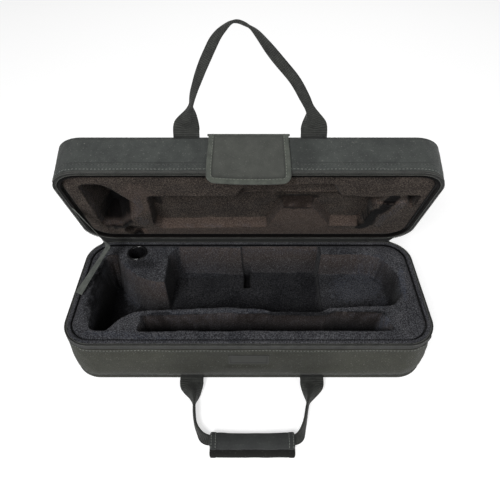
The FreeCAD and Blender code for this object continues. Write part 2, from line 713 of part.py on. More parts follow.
# Front flap: it hangs from a root strip sewn along the lid's front seam.
# Its layers are drawn flat: X across, Y up to the flap's seam line at zero, Z outwards.
flap_axis_y = -half_depth - v.flap_wall_gap - v.flap_thickness / 2
flap_axis_z = v.case_top + v.layer_gap + v.flap_root_thickness / 2
flap_placement = lid_placement.multiply(FreeCAD.Placement(
    Vector(0, flap_axis_y, flap_axis_z), FreeCAD.Rotation(X_AXIS, 90)))
flap_length = ("(sizes.lid_height + sizes.rim_gap + sizes.layer_gap"
               " + sizes.flap_root_thickness / 2 + sizes.flap_reach_below_rim)")
flap_half = "sizes.flap_width / 2"
window_half = "(sizes.flap_width / 2 - sizes.flap_binding)"
window_low = f"-({flap_length} - sizes.flap_binding)"
window_high = "-(sizes.flap_thickness / 2 + sizes.flap_seam_gap)"
flap_length_value = flap_axis_z - (v.base_height - v.flap_reach_below_rim)
window_half_value = v.flap_width / 2 - v.flap_binding
window_low_value = v.flap_binding - flap_length_value
inner_round = "sizes.flap_corner - sizes.flap_binding"


def flap_window(name, z_low, z_high, clearance):
    """A layer that fills the flap's binding, drawn in by a clearance."""
    layer = panel(name, f"-({window_half} - {clearance})", f"{window_half} - {clearance}",
                  f"{window_low} + {clearance}", f"{window_high} - {clearance}", z_low, z_high)
    gap = 0 if clearance == "0" else v.layer_gap
    low = window_low_value + gap
    half = window_half_value - gap
    round_corners(layer, name + "_corners", [(-half, low), (half, low)], inner_round)
    return layer


binding_blank = panel("binding_blank", f"-{flap_half}", flap_half, f"-{flap_length}", "0",
                      "-sizes.flap_thickness / 2", "sizes.flap_thickness / 2")
round_corners(binding_blank, "binding_corners",
              [(side * v.flap_width / 2, -flap_length_value) for side in (-1, 1)],
              "sizes.flap_corner")
binding_window = flap_window("binding_window", "-sizes.flap_thickness", "sizes.flap_thickness", "0")
binding_frame = cut("binding_frame", binding_blank, binding_window)
flap_roll = doc.addObject("Part::Cylinder", "flap_roll")
flap_roll.setExpression("Radius", "sizes.flap_thickness / 2")
flap_roll.setExpression("Height", "sizes.flap_width")
flap_roll.Placement.Rotation = FreeCAD.Rotation(Vector(0, 1, 0), 90)
flap_roll.setExpression("Placement.Base.x", "-sizes.flap_width / 2")
keep("flap_binding", fused("flap_binding", [binding_frame, flap_roll]), flap_placement)
keep("flap_lining", flap_window(
    "flap_lining", "-sizes.flap_thickness / 2", "-sizes.flap_thickness / 2 + sizes.flap_layer",
    "sizes.layer_gap"), flap_placement)
keep("flap_stiffener", flap_window(
    "flap_stiffener", "-sizes.flap_thickness / 2 + sizes.flap_layer + sizes.layer_gap",
    "sizes.flap_thickness / 2 - sizes.flap_layer - sizes.layer_gap",
    "sizes.layer_gap"), flap_placement)
keep("flap_face", flap_window(
    "flap_face", "sizes.flap_thickness / 2 - sizes.flap_layer", "sizes.flap_thickness / 2",
    "sizes.layer_gap"), flap_placement)
root_front = ("(sizes.case_depth / 2 + sizes.flap_wall_gap - sizes.flap_seam_gap)")
keep("flap_root_strip", panel(
    "flap_root_strip", f"-{flap_half}", flap_half, f"-{root_front}",
    f"-{root_front} + sizes.flap_root", "sizes.case_top + sizes.layer_gap",
    "sizes.case_top + sizes.layer_gap + sizes.flap_root_thickness"), lid_placement)

# Webbing handles. Each is drawn flat: X across, Y away from the seam cord, Z its thickness.
tab_start = v.cord_radius + v.layer_gap
tab_end = tab_start + v.tab_length
handle_axis = tab_end + v.handle_seam_gap + v.webbing_root / 2
cord_y = -half_depth + v.cord_inset


def handle_placement(cord_height, angle, carrier):
    """From the flat drawing to a place on the seam cord, turned up about X by an angle."""
    return carrier.multiply(FreeCAD.Placement(
        Vector(0, cord_y, cord_height), FreeCAD.Rotation(X_AXIS, angle)))


lid_handle_placement = handle_placement(v.lid_cord_height, 180 - v.lid_handle_tilt, lid_placement)
base_handle_placement = handle_placement(v.base_seam_height, 180 + v.base_handle_droop,
                                         no_placement)


def handle_tabs(name, anchor_shares, placement):
    """The sewn tails of the webbing, one at each end of the handle."""
    tabs = []
    for k, share in enumerate(anchor_shares):
        tab = doc.addObject("Part::Box", f"{name}_{k}")
        tab.setExpression("Length", "sizes.webbing_width")
        tab.setExpression("Width", "sizes.tab_length")
        tab.setExpression("Height", "sizes.webbing_root")
        tab.setExpression("Placement.Base.x",
                          f"{share} * sizes.handle_half_spread - sizes.webbing_width / 2")
        tab.setExpression("Placement.Base.y", "sizes.cord_radius + sizes.layer_gap")
        tab.setExpression("Placement.Base.z", "-sizes.webbing_root / 2")
        tabs.append(tab)
    group = doc.addObject("Part::Compound", name)
    group.Links = tabs
    doc.recompute()
    keep(name, group, placement)


def section(centre, along, width, thickness):
    """A rectangle square to a direction in the flat drawing."""
    side = along.cross(Z_AXIS).normalize() * (width / 2)
    up = Z_AXIS * (thickness / 2)
    corners = [centre + side + up, centre - side + up, centre - side - up, centre + side - up]
    return Part.makePolygon(corners + corners[:1])


def webbing_loop(name, anchor_shares, neck_shares, loop_shares, reach, placement):
    """Flat webbing at each seam, drawn together at a neck and folded to a narrow loop.
    Places along the seam are shares of the half spread, heights are shares of the reach."""
    points = [Vector(x * v.handle_half_spread, handle_axis + y * reach, 0)
              for x, y in loop_shares]
    necks = [Vector(x * v.handle_half_spread, handle_axis + v.taper_length, 0)
             for x in neck_shares]
    points = necks[:1] + points + necks[1:]
    path = rounded_path(points, [bend_share] * len(points), False)
    start = (points[1] - points[0]).normalize()
    finish = (points[-1] - points[-2]).normalize()
    first = section(points[0], start, v.folded_width, v.folded_thickness)
    last = section(points[-1], finish, v.folded_width, v.folded_thickness)
    pieces = [path.makePipeShell([first], True, False)]
    upward = Vector(0, 1, 0)
    for share, narrow, along in ((anchor_shares[0], first, upward),
                                 (anchor_shares[1], last, upward * -1)):
        centre = Vector(share * v.handle_half_spread, handle_axis, 0)
        wide = section(centre, along, v.webbing_width, v.webbing_root)
        pieces.append(Part.makeLoft([wide, narrow], True, True))
        pieces.append(Part.makeCylinder(v.webbing_root / 2, v.webbing_width,
                                        centre - X_AXIS * (v.webbing_width / 2), X_AXIS))
    keep(name, feature(name, pieces[0].multiFuse(pieces[1:]).removeSplitter()), placement)


bend_share = 0.4
lid_anchor_shares = (-0.968, 1.016)
lid_neck_shares = (-0.892, 0.946)
lid_loop_shares = [(-0.849, 0.338), (-0.688, 0.601), (-0.462, 0.865), (-0.204, 1.000),
                   (0.065, 0.926), (0.376, 0.703), (0.710, 0.480), (0.903, 0.270)]
base_anchor_shares = (-0.995, 1.102)
base_neck_shares = (-0.930, 1.038)
base_loop_shares = [(-0.914, 0.527), (-0.871, 0.771), (-0.720, 1.000), (0.817, 1.000),
                    (0.925, 0.730), (0.978, 0.487)]
handle_tabs("lid_handle_tabs", lid_anchor_shares, lid_handle_placement)
handle_tabs("base_handle_tabs", base_anchor_shares, base_handle_placement)
webbing_loop("lid_handle_webbing", lid_anchor_shares, lid_neck_shares, lid_loop_shares,
             v.lid_handle_height, lid_handle_placement)
webbing_loop("base_handle_webbing", base_anchor_shares, base_neck_shares, base_loop_shares,
             v.base_handle_reach, base_handle_placement)

# Wrap round grip of the base handle: a pad below, a flap above that opens about its back edge
grip_left = "(sizes.grip_shift - sizes.grip_length / 2)"
grip_right = "(sizes.grip_shift + sizes.grip_length / 2)"
grip_back = "-(sizes.case_depth / 2 + sizes.grip_from_wall)"
grip_left_value = v.grip_shift - v.grip_length / 2
grip_right_value = v.grip_shift + v.grip_length / 2
grip_back_value = -half_depth - v.grip_from_wall
flap_under = "(sizes.grip_pad + sizes.grip_space)"

grip_pad = panel("grip_pad", grip_left, grip_right, f"{grip_back} - sizes.grip_depth", grip_back,
                 "0", "sizes.grip_pad")
round_corners(grip_pad, "grip_pad_corners",
              [(grip_left_value, grip_back_value - v.grip_depth),
               (grip_right_value, grip_back_value - v.grip_depth)], "sizes.grip_corner")
grip_wall = panel("grip_wall", grip_left, grip_right, f"{grip_back} - sizes.grip_back_wall",
                  grip_back, "sizes.grip_pad / 2", f"{flap_under} - sizes.grip_clearance")
keep("grip_back_pad", fused("grip_back_pad", [grip_pad, grip_wall]))

grip_top = panel("grip_top", grip_left, grip_right, f"{grip_back} - sizes.grip_flap_depth",
                 f"{grip_back} - sizes.grip_back_wall / 2", flap_under,
                 f"{flap_under} + sizes.grip_pad")
lip_low = "(sizes.grip_pad + 2 * sizes.grip_tape + sizes.grip_clearance)"
grip_lip = panel("grip_front_lip", grip_left, grip_right,
                 f"{grip_back} - sizes.grip_flap_depth",
                 f"{grip_back} - sizes.grip_flap_depth + sizes.grip_lip", lip_low,
                 f"{flap_under} + sizes.grip_pad / 2")
grip_roll = doc.addObject("Part::Cylinder", "grip_roll")
grip_roll.setExpression("Radius", "sizes.grip_pad / 2")
grip_roll.setExpression("Height", "sizes.grip_length")
grip_roll.Placement.Rotation = FreeCAD.Rotation(Vector(0, 1, 0), 90)
grip_roll.setExpression("Placement.Base.x", grip_left)
grip_roll.setExpression("Placement.Base.y", f"{grip_back} - sizes.grip_back_wall / 2")
grip_roll.setExpression("Placement.Base.z", f"{flap_under} + sizes.grip_pad / 2")
keep("grip_flap", fused("grip_flap", [grip_top, grip_lip, grip_roll]))

tape_margin = "sizes.grip_corner"
tape_front = f"{grip_back} - sizes.grip_flap_depth + sizes.layer_gap"
tape_rear = f"{grip_back} - sizes.grip_flap_depth + sizes.grip_lip - sizes.layer_gap"
keep("grip_loop_tape", panel(
    "grip_loop_tape", f"{grip_left} + {tape_margin}", f"{grip_right} - {tape_margin}",
    tape_front, tape_rear, "sizes.grip_pad", "sizes.grip_pad + sizes.grip_tape"))
keep("grip_hook_tape", panel(
    "grip_hook_tape", f"{grip_left} + {tape_margin}", f"{grip_right} - {tape_margin}",
    tape_front, tape_rear, f"{lip_low} - sizes.grip_tape", lip_low))


# Stay strap: a flat ribbon sewn to both left rims, folded inwards at its middle
def ribbon_corners(centre, across, through):
    side = across * (v.stay_width / 2)
    up = through * (v.stay_thickness / 2)
    return [centre + side + up, centre - side + up, centre - side - up, centre + side - up]


def ribbon(sections):
    """A solid whose four sides run straight from each section's corners to the next one's."""
    faces = [Part.Face(Part.makePolygon(end + end[:1])) for end in (sections[0], sections[-1])]
    for here, there in zip(sections[:-1], sections[1:]):
        for k in range(len(here)):
            follow = (k + 1) % len(here)
            faces.append(Part.makeRuledSurface(
                Part.LineSegment(here[k], here[follow]).toShape(),
                Part.LineSegment(there[k], there[follow]).toShape()))
    shell = Part.makeShell(faces)
    shell.sewShape()
    solid = Part.makeSolid(Part.Shell(shell.Faces))
    if solid.Volume < 0:
        solid.reverse()
    return solid


def stay_strap():
    seat_x = -half_length + v.stay_inset
    seat_y = half_depth - v.stay_from_hinge
    lift = v.stay_seat_gap + v.stay_thickness / 2
    base_end = Vector(seat_x, seat_y, v.base_height + lift)
    lid_end = lid_placement.multVec(Vector(seat_x, seat_y, v.lid_rim - lift))
    fold = base_end + Vector(v.stay_fold_in, v.stay_fold_back, v.stay_fold_up)
    flat_run = Vector(v.stay_fold_in, v.stay_fold_back, 0).normalize()
    flat_across = flat_run.cross(Z_AXIS)
    to_fold = (fold - base_end).normalize()
    from_fold = (lid_end - fold).normalize()
    fold_across = to_fold.cross(from_fold).normalize()
    if fold_across.dot(flat_across) < 0:
        fold_across = fold_across * -1
    mitre = (to_fold - from_fold).normalize()
    stretch = 1 / math.cos(to_fold.getAngle(from_fold) / 2)
    turn = lid_placement.Rotation
    sections = [
        ribbon_corners(base_end, flat_across, Z_AXIS),
        ribbon_corners(fold, fold_across, mitre * -stretch),
        ribbon_corners(lid_end, turn.multVec(flat_across), turn.multVec(Z_AXIS) * -1)]
    print("stay strap length", round((fold - base_end).Length + (lid_end - fold).Length, 2))
    keep("stay_strap", feature("stay_strap", ribbon(sections)))


stay_strap()

# Check every object, then write one file for each sub-part
doc.recompute()
for item in doc.Objects:
    if "Invalid" in item.State or "Error" in item.State:
        raise RuntimeError(f"{item.Name} failed: {item.State}")
os.makedirs("parts", exist_ok=True)
for name, item in nodes.items():
    shape = item.Shape
    if shape.isNull() or not shape.isValid() or not shape.Solids:
        raise RuntimeError(name + " has no valid solid")
    shape.exportStep(f"parts/{name}.step")
    print(f"{name:24s} {len(shape.Solids)} solids {shape.Volume / 1000:10.2f} cm3")
print(len(nodes), "nodes")
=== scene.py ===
import bpy
import bmesh
import json
import math
import numpy as np
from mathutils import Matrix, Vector


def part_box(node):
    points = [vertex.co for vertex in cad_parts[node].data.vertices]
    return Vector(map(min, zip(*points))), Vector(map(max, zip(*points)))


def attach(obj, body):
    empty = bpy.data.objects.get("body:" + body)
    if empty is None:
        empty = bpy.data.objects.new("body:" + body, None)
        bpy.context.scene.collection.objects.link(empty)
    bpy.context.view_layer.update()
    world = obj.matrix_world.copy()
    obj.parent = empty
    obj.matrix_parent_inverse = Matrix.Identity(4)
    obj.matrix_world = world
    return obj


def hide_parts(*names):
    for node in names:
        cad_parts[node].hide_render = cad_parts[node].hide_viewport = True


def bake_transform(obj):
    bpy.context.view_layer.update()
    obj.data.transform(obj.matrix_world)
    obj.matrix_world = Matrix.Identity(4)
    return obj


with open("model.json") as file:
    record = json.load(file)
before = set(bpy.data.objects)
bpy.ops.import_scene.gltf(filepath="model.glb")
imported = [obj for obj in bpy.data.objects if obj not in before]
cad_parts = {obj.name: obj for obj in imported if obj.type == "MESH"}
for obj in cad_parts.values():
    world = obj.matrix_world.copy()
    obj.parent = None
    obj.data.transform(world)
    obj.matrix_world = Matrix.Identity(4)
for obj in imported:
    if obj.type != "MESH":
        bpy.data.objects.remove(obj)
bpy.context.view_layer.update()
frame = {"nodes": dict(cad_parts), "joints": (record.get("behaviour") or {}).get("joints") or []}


def box(node):
    """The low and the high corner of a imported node, in millimetres."""
    return [np.round(np.array(corner) * 1000, 2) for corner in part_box(node)]


def joint(name):
    return next(entry for entry in frame["joints"] if entry["name"] == name)


# Millimetres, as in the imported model: X along the case, Y to the hinge, Z up
MM = 0.001
HALF_X, HALF_Y = box("base_side_band")[1][:2]
CORNER = 47.0
SPINE_HALF = box("hinge_spine_cloth")[1][0]
CUP_X, CUP_Y = sum(box("holder_cup"))[:2] / 2
HINGE = np.array(joint("lid_hinge")["pos_m"]) * 1000
LID_ANGLE = -math.radians(joint("lid_hinge")["range_deg"][0])
ARC = CORNER * math.pi / 2
ROUND = 4 * (HALF_X + HALF_Y - 2 * CORNER) + 4 * ARC


# ---------- fields and lines ----------
def rotation_x(angle):
    c, s = math.cos(angle), math.sin(angle)
    return np.array([[1, 0, 0], [0, c, -s], [0, s, c]])


def lid_place(points):
    """From the shut lid to the open one."""
    return (points - HINGE) @ rotation_x(-LID_ANGLE).T + HINGE


PLACE = {"base": None, "lid": lid_place}


def ripple(points, wavelength, seed, count=12):
    """A smooth random field of about unit size over 2-D or 3-D points."""
    points = np.asarray(points, float)
    rng = np.random.default_rng(seed)
    total = np.zeros(points.shape[:-1])
    for _ in range(count):
        direction = rng.normal(size=points.shape[-1])
        direction /= np.linalg.norm(direction)
        turns = 2 * math.pi / (wavelength * rng.uniform(0.6, 1.7))
        total += np.sin(points @ direction * turns + rng.uniform(0, 2 * math.pi))
    return total * math.sqrt(2 / count)


def ripple_along(s, wavelength, seed):
    return ripple(s[:, None] * np.ones(2), wavelength, seed)


def smooth(t):
    t = np.clip(t, 0, 1)
    return t * t * (3 - 2 * t)


def unit(v):
    v = np.asarray(v, float)
    return v / np.maximum(np.linalg.norm(v, axis=-1, keepdims=True), 1e-9)


def circle(count):
    return np.linspace(0, 2 * math.pi, count, endpoint=False)


def lengths(points):
    """Distance along a line of points, from its start."""
    steps = np.linalg.norm(np.diff(np.asarray(points, float), axis=0), axis=1)
    return np.concatenate([[0], np.cumsum(steps)])


def resample(points, step):
    points = np.asarray(points, float)
    along = lengths(points)
    at = np.linspace(0, along[-1], max(2, int(round(along[-1] / step)) + 1))
    return np.stack([np.interp(at, along, points[:, k]) for k in range(points.shape[1])], 1)


def soften(points, rounds):
    points = np.array(points, float)
    for _ in range(rounds):
        points[1:-1] = (points[:-2] + 2 * points[1:-1] + points[2:]) / 4
    return points


def round_bend(before, here, after, share):
    """A curve in place of a corner, that starts at a share of its shorter side."""
    setback = share * min(np.linalg.norm(before - here), np.linalg.norm(after - here))
    a, b = here + unit(before - here) * setback, here + unit(after - here) * setback
    return [a * (1 - t) ** 2 + 2 * here * t * (1 - t) + b * t * t for t in np.linspace(0, 1, 9)]


# ---------- places round the outline ----------
S = np.arange(512) / 512 * ROUND


def rim_at(s):
    """Anchor on the plan's inner rectangle and outward direction, by distance along the outline,
    which starts at the middle of the back and runs towards -X."""
    s = np.mod(np.asarray(s, float), ROUND)
    a, b = HALF_X - CORNER, HALF_Y - CORNER
    sides = [((0, b), (-1, 0), a), ((-a, b), (0, -1), 2 * b), ((-a, -b), (1, 0), 2 * a),
             ((a, -b), (0, 1), 2 * b), ((a, b), (-1, 0), a)]
    anchor, normal = np.zeros(s.shape + (2,)), np.zeros(s.shape + (2,))
    start = 0.0
    for place, way, length in sides:
        way, facing = np.array(way), np.array([way[1], -way[0]])
        t = (s - start)[..., None]
        turn = np.clip(t - length, 0, ARC) / CORNER
        anchor = np.where(t >= -1e-9, place + way * np.clip(t, 0, length), anchor)
        normal = np.where(t >= -1e-9, facing * np.cos(turn) + way * np.sin(turn), normal)
        start += length + ARC
    return anchor, normal


def outward(s):
    return np.concatenate([rim_at(s)[1], np.zeros((len(s), 1))], 1)


def corner_share(s):
    """1 in the middle of a plan corner, 0 well along the straights."""
    return smooth(2.84 * np.abs(rim_at(s)[1]).min(-1))


def ring(s, inset, z):
    """Points at an inset from the outline and a height."""
    anchor, normal = rim_at(s)
    xy = anchor + normal * (CORNER - np.asarray(inset))[..., None]
    return np.concatenate([xy, np.broadcast_to(np.asarray(z, float), s.shape)[..., None]], -1)


def ring_loft(s, profile, bulge=None):
    """Rings through a profile of (inset, z). bulge(s, inset, z) moves them outwards."""
    rows = []
    profile = np.asarray(profile, float)
    for k, (inset, z) in enumerate(profile):
        run = profile[min(k + 1, len(profile) - 1)] - profile[max(k - 1, 0)]
        facing = np.array([run[1], run[0]]) / (np.linalg.norm(run) or 1)
        move = bulge(s, inset, z) if bulge else 0.0
        rows.append(ring(s, inset - move * facing[0], z + move * facing[1]))
    return np.array(rows)


def to_middle(outer, rows, z, lift):
    """Rings that run inwards from an outer ring to the line along the middle."""
    ridge = HALF_X - HALF_Y
    middle = np.stack([np.clip(outer[:, 0], -ridge, ridge), np.zeros(len(outer))], 1)
    out = []
    for t in np.arange(1, rows + 1) / rows:
        xy = outer[:, :2] * (1 - t) + middle * t
        out.append(np.column_stack([xy, np.full(len(xy), z) + lift(xy, t)]))
    return np.array(out)


# ---------- meshes ----------
def cloth_map(along, across):
    """Places on the cloth, from what varies along it and what varies across it."""
    return np.stack(np.broadcast_arrays(along, across), -1)


def grid_faces(rows, columns, wrap_rows=False, wrap_columns=False):
    r, c = np.meshgrid(np.arange(rows - (not wrap_rows)), np.arange(columns - (not wrap_columns)),
                       indexing="ij")
    r, c, r2, c2 = r.ravel(), c.ravel(), (r.ravel() + 1) % rows, (c.ravel() + 1) % columns
    return np.stack([r * columns + c, r * columns + c2, r2 * columns + c2, r2 * columns + c], 1)


def tube_faces(rows, columns):
    """Faces of a tube whose every row is a closed section, with its two ends."""
    ends = [range(columns), range((rows - 1) * columns, rows * columns)]
    return grid_faces(rows, columns, wrap_columns=True).tolist() + [list(end) for end in ends]


def sweep(centres, side, up, sections):
    """A tube through sections given in (side, up) at each centre."""
    sections = np.broadcast_to(sections, (len(centres),) + np.shape(sections)[-2:])
    points = centres[:, None] + sections[..., :1] * side[:, None] + sections[..., 1:] * up[:, None]
    closed = np.concatenate([sections, sections[:, :1]], 1)
    around = np.linalg.norm(np.diff(closed, axis=1), axis=2).cumsum(1)
    return points, tube_faces(*points.shape[:2]), cloth_map(lengths(centres)[:, None], around)


def join(parts):
    """Several (points, faces, thread) as one."""
    points, faces, thread, count = [], [], [], 0
    for p, f, t in parts:
        points.append(np.reshape(p, (-1, 3)))
        faces += [[i + count for i in face] for face in f]
        thread.append(np.reshape(t, (-1, 2)))
        count += len(points[-1])
    return np.concatenate(points), faces, np.concatenate(thread)


def stitches(origins, along, side, up, length=3.3, width=0.8, height=0.4):
    """Bars of thread with pulled-in ends, each a little proud of the cloth."""
    axes = np.stack([np.broadcast_to(axis, origins.shape) for axis in (along, side, up)], 1)
    bar = []
    for t in np.linspace(-1, 1, 5):
        r = math.sqrt(max(0.06, 1 - abs(t) ** 2.6))
        bar += [(t * length / 2, width / 2 * r * math.cos(a),
                 height * (r * math.sin(a) - 0.35 * t * t)) for a in circle(6)]
    bar, faces = np.array(bar), tube_faces(5, 6)
    faces = [[i + k * len(bar) for i in face] for k in range(len(origins)) for face in faces]
    return origins[:, None] + bar @ axes, faces, np.tile(bar[:, :2], (len(origins), 1))


def build(name, points, faces, material, body=None, over="", place=None, thread=None,
          wrap=0.0, weld=0.0, values=None):
    """One mesh piece from points in millimetres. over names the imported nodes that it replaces,
    thread gives each point's place on the cloth, which starts again after wrap, and values are
    point attributes. Points nearer than weld are joined."""
    points = np.asarray(points, float).reshape(-1, 3)
    if place is not None:
        points = place(points)
    mesh = bpy.data.meshes.new(name)
    mesh.from_pydata((points * MM).tolist(), [], [list(map(int, face)) for face in faces])
    if thread is not None:
        uv = np.asarray(thread, float).reshape(-1, 2)[np.concatenate(faces)]
        if wrap:
            uv = uv.reshape(len(faces), -1, 2)
            crosses = uv[..., 0].max(1, keepdims=True) > wrap * 0.75
            uv[..., 0] += np.where(crosses & (uv[..., 0] < wrap * 0.25), wrap, 0)
        mesh.uv_layers.new(name="thread").data.foreach_set("uv", (uv * MM).ravel())
    for key, value in (values or {}).items():
        layer = mesh.attributes.new(key, "FLOAT", "POINT")
        layer.data.foreach_set("value", np.asarray(value, np.float32).ravel())
    work = bmesh.new()
    work.from_mesh(mesh)
    if weld:
        bmesh.ops.remove_doubles(work, verts=work.verts, dist=weld * MM)
    bmesh.ops.recalc_face_normals(work, faces=work.faces)
    work.to_mesh(mesh)
    work.free()
    mesh.polygons.foreach_set("use_smooth", [True] * len(mesh.polygons))
    mesh.materials.append(material)
    piece = bpy.data.objects.new(name, mesh)
    bpy.context.scene.collection.objects.link(piece)
    if over:
        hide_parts(*over.split())
    if body:
        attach(piece, body)
    return piece


def hoop(name, s, rows, across, material, body, over="", shade=None):
    """A closed band round the outline, from its rings and their places across the cloth."""
    values = {} if shade is None else {"shade": np.repeat(np.array(shade)[:, None], len(s), 1)}
    return build(name, rows, grid_faces(len(rows), len(s), True, True), material, body, over,
                 PLACE[body], cloth_map(s[None], np.asarray(across)[:, None]), ROUND, values=values)


# ---------- materials ----------
def linear(colour):
    """A colour for a socket, from sRGB of 0 to 255."""
    return tuple((c / 255 / 12.92 if c <= 10 else ((c / 255 + 0.055) / 1.055) ** 2.4)
                 for c in colour) + (1.0,)


class Nodes:
    """A node tree with short ways to add the usual steps. Colours are sRGB, 0 to 255."""

    def __init__(self, owner):
        owner.use_nodes = True
        self.tree = owner.node_tree

    def node(self, kind, sockets, **settings):
        """A new node. sockets gives each input its value, or the output that feeds it."""
        node = self.tree.nodes.new(kind)
        for key, value in settings.items():
            setattr(node, key, value)
        for key, value in sockets.items():
            if isinstance(value, bpy.types.NodeSocket):
                self.tree.links.new(value, node.inputs[key])
            else:
                value = linear(value) if isinstance(value, tuple) else value
                node.inputs[key].default_value = value
        return node

    def math(self, operation, a, b):
        return self.node("ShaderNodeMath", {0: a, 1: b}, operation=operation).outputs[0]

    def total(self, *terms):
        """A sum of (source, weight)."""
        out = None
        for source, weight in terms:
            part = source if weight == 1 else self.math("MULTIPLY", source, weight)
            out = part if out is None else self.math("ADD", out, part)
        return out

    def range(self, source, low, high, out_low, out_high):
        return self.node("ShaderNodeMapRange", {"Value": source, "From Min": low, "From Max": high,
                                                "To Min": out_low, "To Max": out_high}).outputs[0]

    def blend(self, factor, a, b):
        return self.node("ShaderNodeMix", {0: factor, 6: a, 7: b}, data_type="RGBA").outputs[2]


class Paint(Nodes):
    """A material round one Principled shader."""

    def __init__(self, name, roughness, metallic=0.0, sheen=0.0, specular=0.5, coat=0.0):
        self.material = bpy.data.materials.new(name)
        super().__init__(self.material)
        self.shader = self.tree.nodes["Principled BSDF"]
        settings = {"Roughness": roughness, "Metallic": metallic, "Specular IOR Level": specular,
                    "Sheen Weight": sheen, "Sheen Roughness": 0.45, "Coat Weight": coat,
                    "Coat Roughness": 0.15}
        for key, value in settings.items():
            self.shader.inputs[key].default_value = value
        self.body = self.node("ShaderNodeTexCoord", {}).outputs["Object"]

    def cloth(self):
        return self.node("ShaderNodeUVMap", {}, uv_map="thread").outputs["UV"]

    def value(self, name):
        return self.node("ShaderNodeAttribute", {}, attribute_name=name).outputs["Fac"]

    def stretched(self, *scale):
        node = self.node("ShaderNodeMapping", {"Vector": self.body})
        node.inputs["Scale"].default_value = scale
        return node.outputs["Vector"]

    def noise(self, source, scale, detail, roughness, distortion=0.0):
        return self.node("ShaderNodeTexNoise", {
            "Vector": source, "Scale": scale, "Detail": detail, "Roughness": roughness,
            "Distortion": distortion}).outputs["Fac"]

    def wave(self, source, pitch, direction, distortion, detail):
        """Threads a pitch apart in millimetres, over places in metres."""
        return self.node("ShaderNodeTexWave", {
            "Vector": source, "Scale": 1000 / pitch * 2 * math.pi / 20, "Distortion": distortion,
            "Detail": detail}, wave_type="BANDS", bands_direction=direction,
            wave_profile="SIN").outputs["Fac"]

    def ramp(self, source, low, dark, high, light):
        node = self.node("ShaderNodeValToRGB", {"Fac": source})
        for element, place, colour in zip(node.color_ramp.elements, (low, high), (dark, light)):
            element.position, element.color = place, linear(colour)
        return node.outputs["Color"]

    def colour(self, source, deepest=0.85):
        """The base colour, with painted shade in creases, seams and recesses from the piece's own
        values.
        """
        shade = self.range(self.value("shade"), 0.0, 1.0, 0.0, deepest)
        self.tree.links.new(self.blend(shade, source, (4, 4, 5)), self.shader.inputs["Base Color"])

    def rough(self, source):
        self.tree.links.new(source, self.shader.inputs["Roughness"])

    def bump(self, height, distance, strength):
        node = self.node("ShaderNodeBump", {"Height": height, "Distance": distance,
                                            "Strength": strength})
        self.tree.links.new(node.outputs["Normal"], self.shader.inputs["Normal"])


def woven(name, dark, light, pitch=0.9, sheen=0.12, wear=0.5):
    """Plain-woven cloth: crossing threads, slubs, faint dusty wear."""
    p = Paint(name, 0.82, sheen=sheen, specular=0.32)
    cloth = p.cloth()
    warp, weft = (p.wave(cloth, pitch, way, 0.35, 1.0) for way in "XY")
    check = p.math("MAXIMUM", p.math("MULTIPLY", warp, 0.92), weft)
    cloud, mottle = p.noise(p.body, 9.0, 5.0, 0.6), p.noise(p.body, 60.0, 4.0, 0.65)
    tone = p.total((cloud, 0.45), (mottle, 0.55))
    thread = p.blend(p.range(check, 0.2, 0.95, 0.42, 0.0), p.ramp(tone, 0.32, dark, 0.68, light),
                     (12, 12, 13))
    flecks = p.range(p.noise(p.body, 420.0, 2.0, 0.7), 0.62, 0.72, 0.0, 0.22 * wear)
    p.colour(p.blend(flecks, thread, (150, 150, 144)))
    p.rough(p.range(tone, 0.3, 0.7, 0.76, 0.90))
    p.bump(p.total((check, 1), (mottle, 0.8)), 0.00016, 0.85)
    return p.material


def ribbed(name, dark, light, pitch, along="X", across="Y", sheen=0.1, depth=0.0003):
    """Webbing or ribbon: cords that run across it, with a finer thread along it."""
    p = Paint(name, 0.62, sheen=sheen, specular=0.4)
    cloth = p.cloth()
    cords, fine = p.wave(cloth, pitch, along, 0.5, 1.5), p.wave(cloth, 0.7, across, 0.6, 1.0)
    height = p.total((cords, 1), (fine, 0.35))
    base = p.ramp(p.noise(p.body, 90.0, 4.0, 0.6), 0.3, dark, 0.7, light)
    shaded = p.blend(p.range(cords, 0.0, 0.6, 0.6, 0.0), base, (14, 14, 14))
    fuzz = p.range(p.noise(p.body, 900.0, 2.0, 0.6), 0.6, 0.75, 0.0, 0.25)
    p.colour(p.blend(fuzz, shaded, (140, 142, 136)))
    p.rough(p.range(height, 0.0, 1.3, 0.77, 0.57))
    p.bump(height, depth, 0.9)
    return p.material


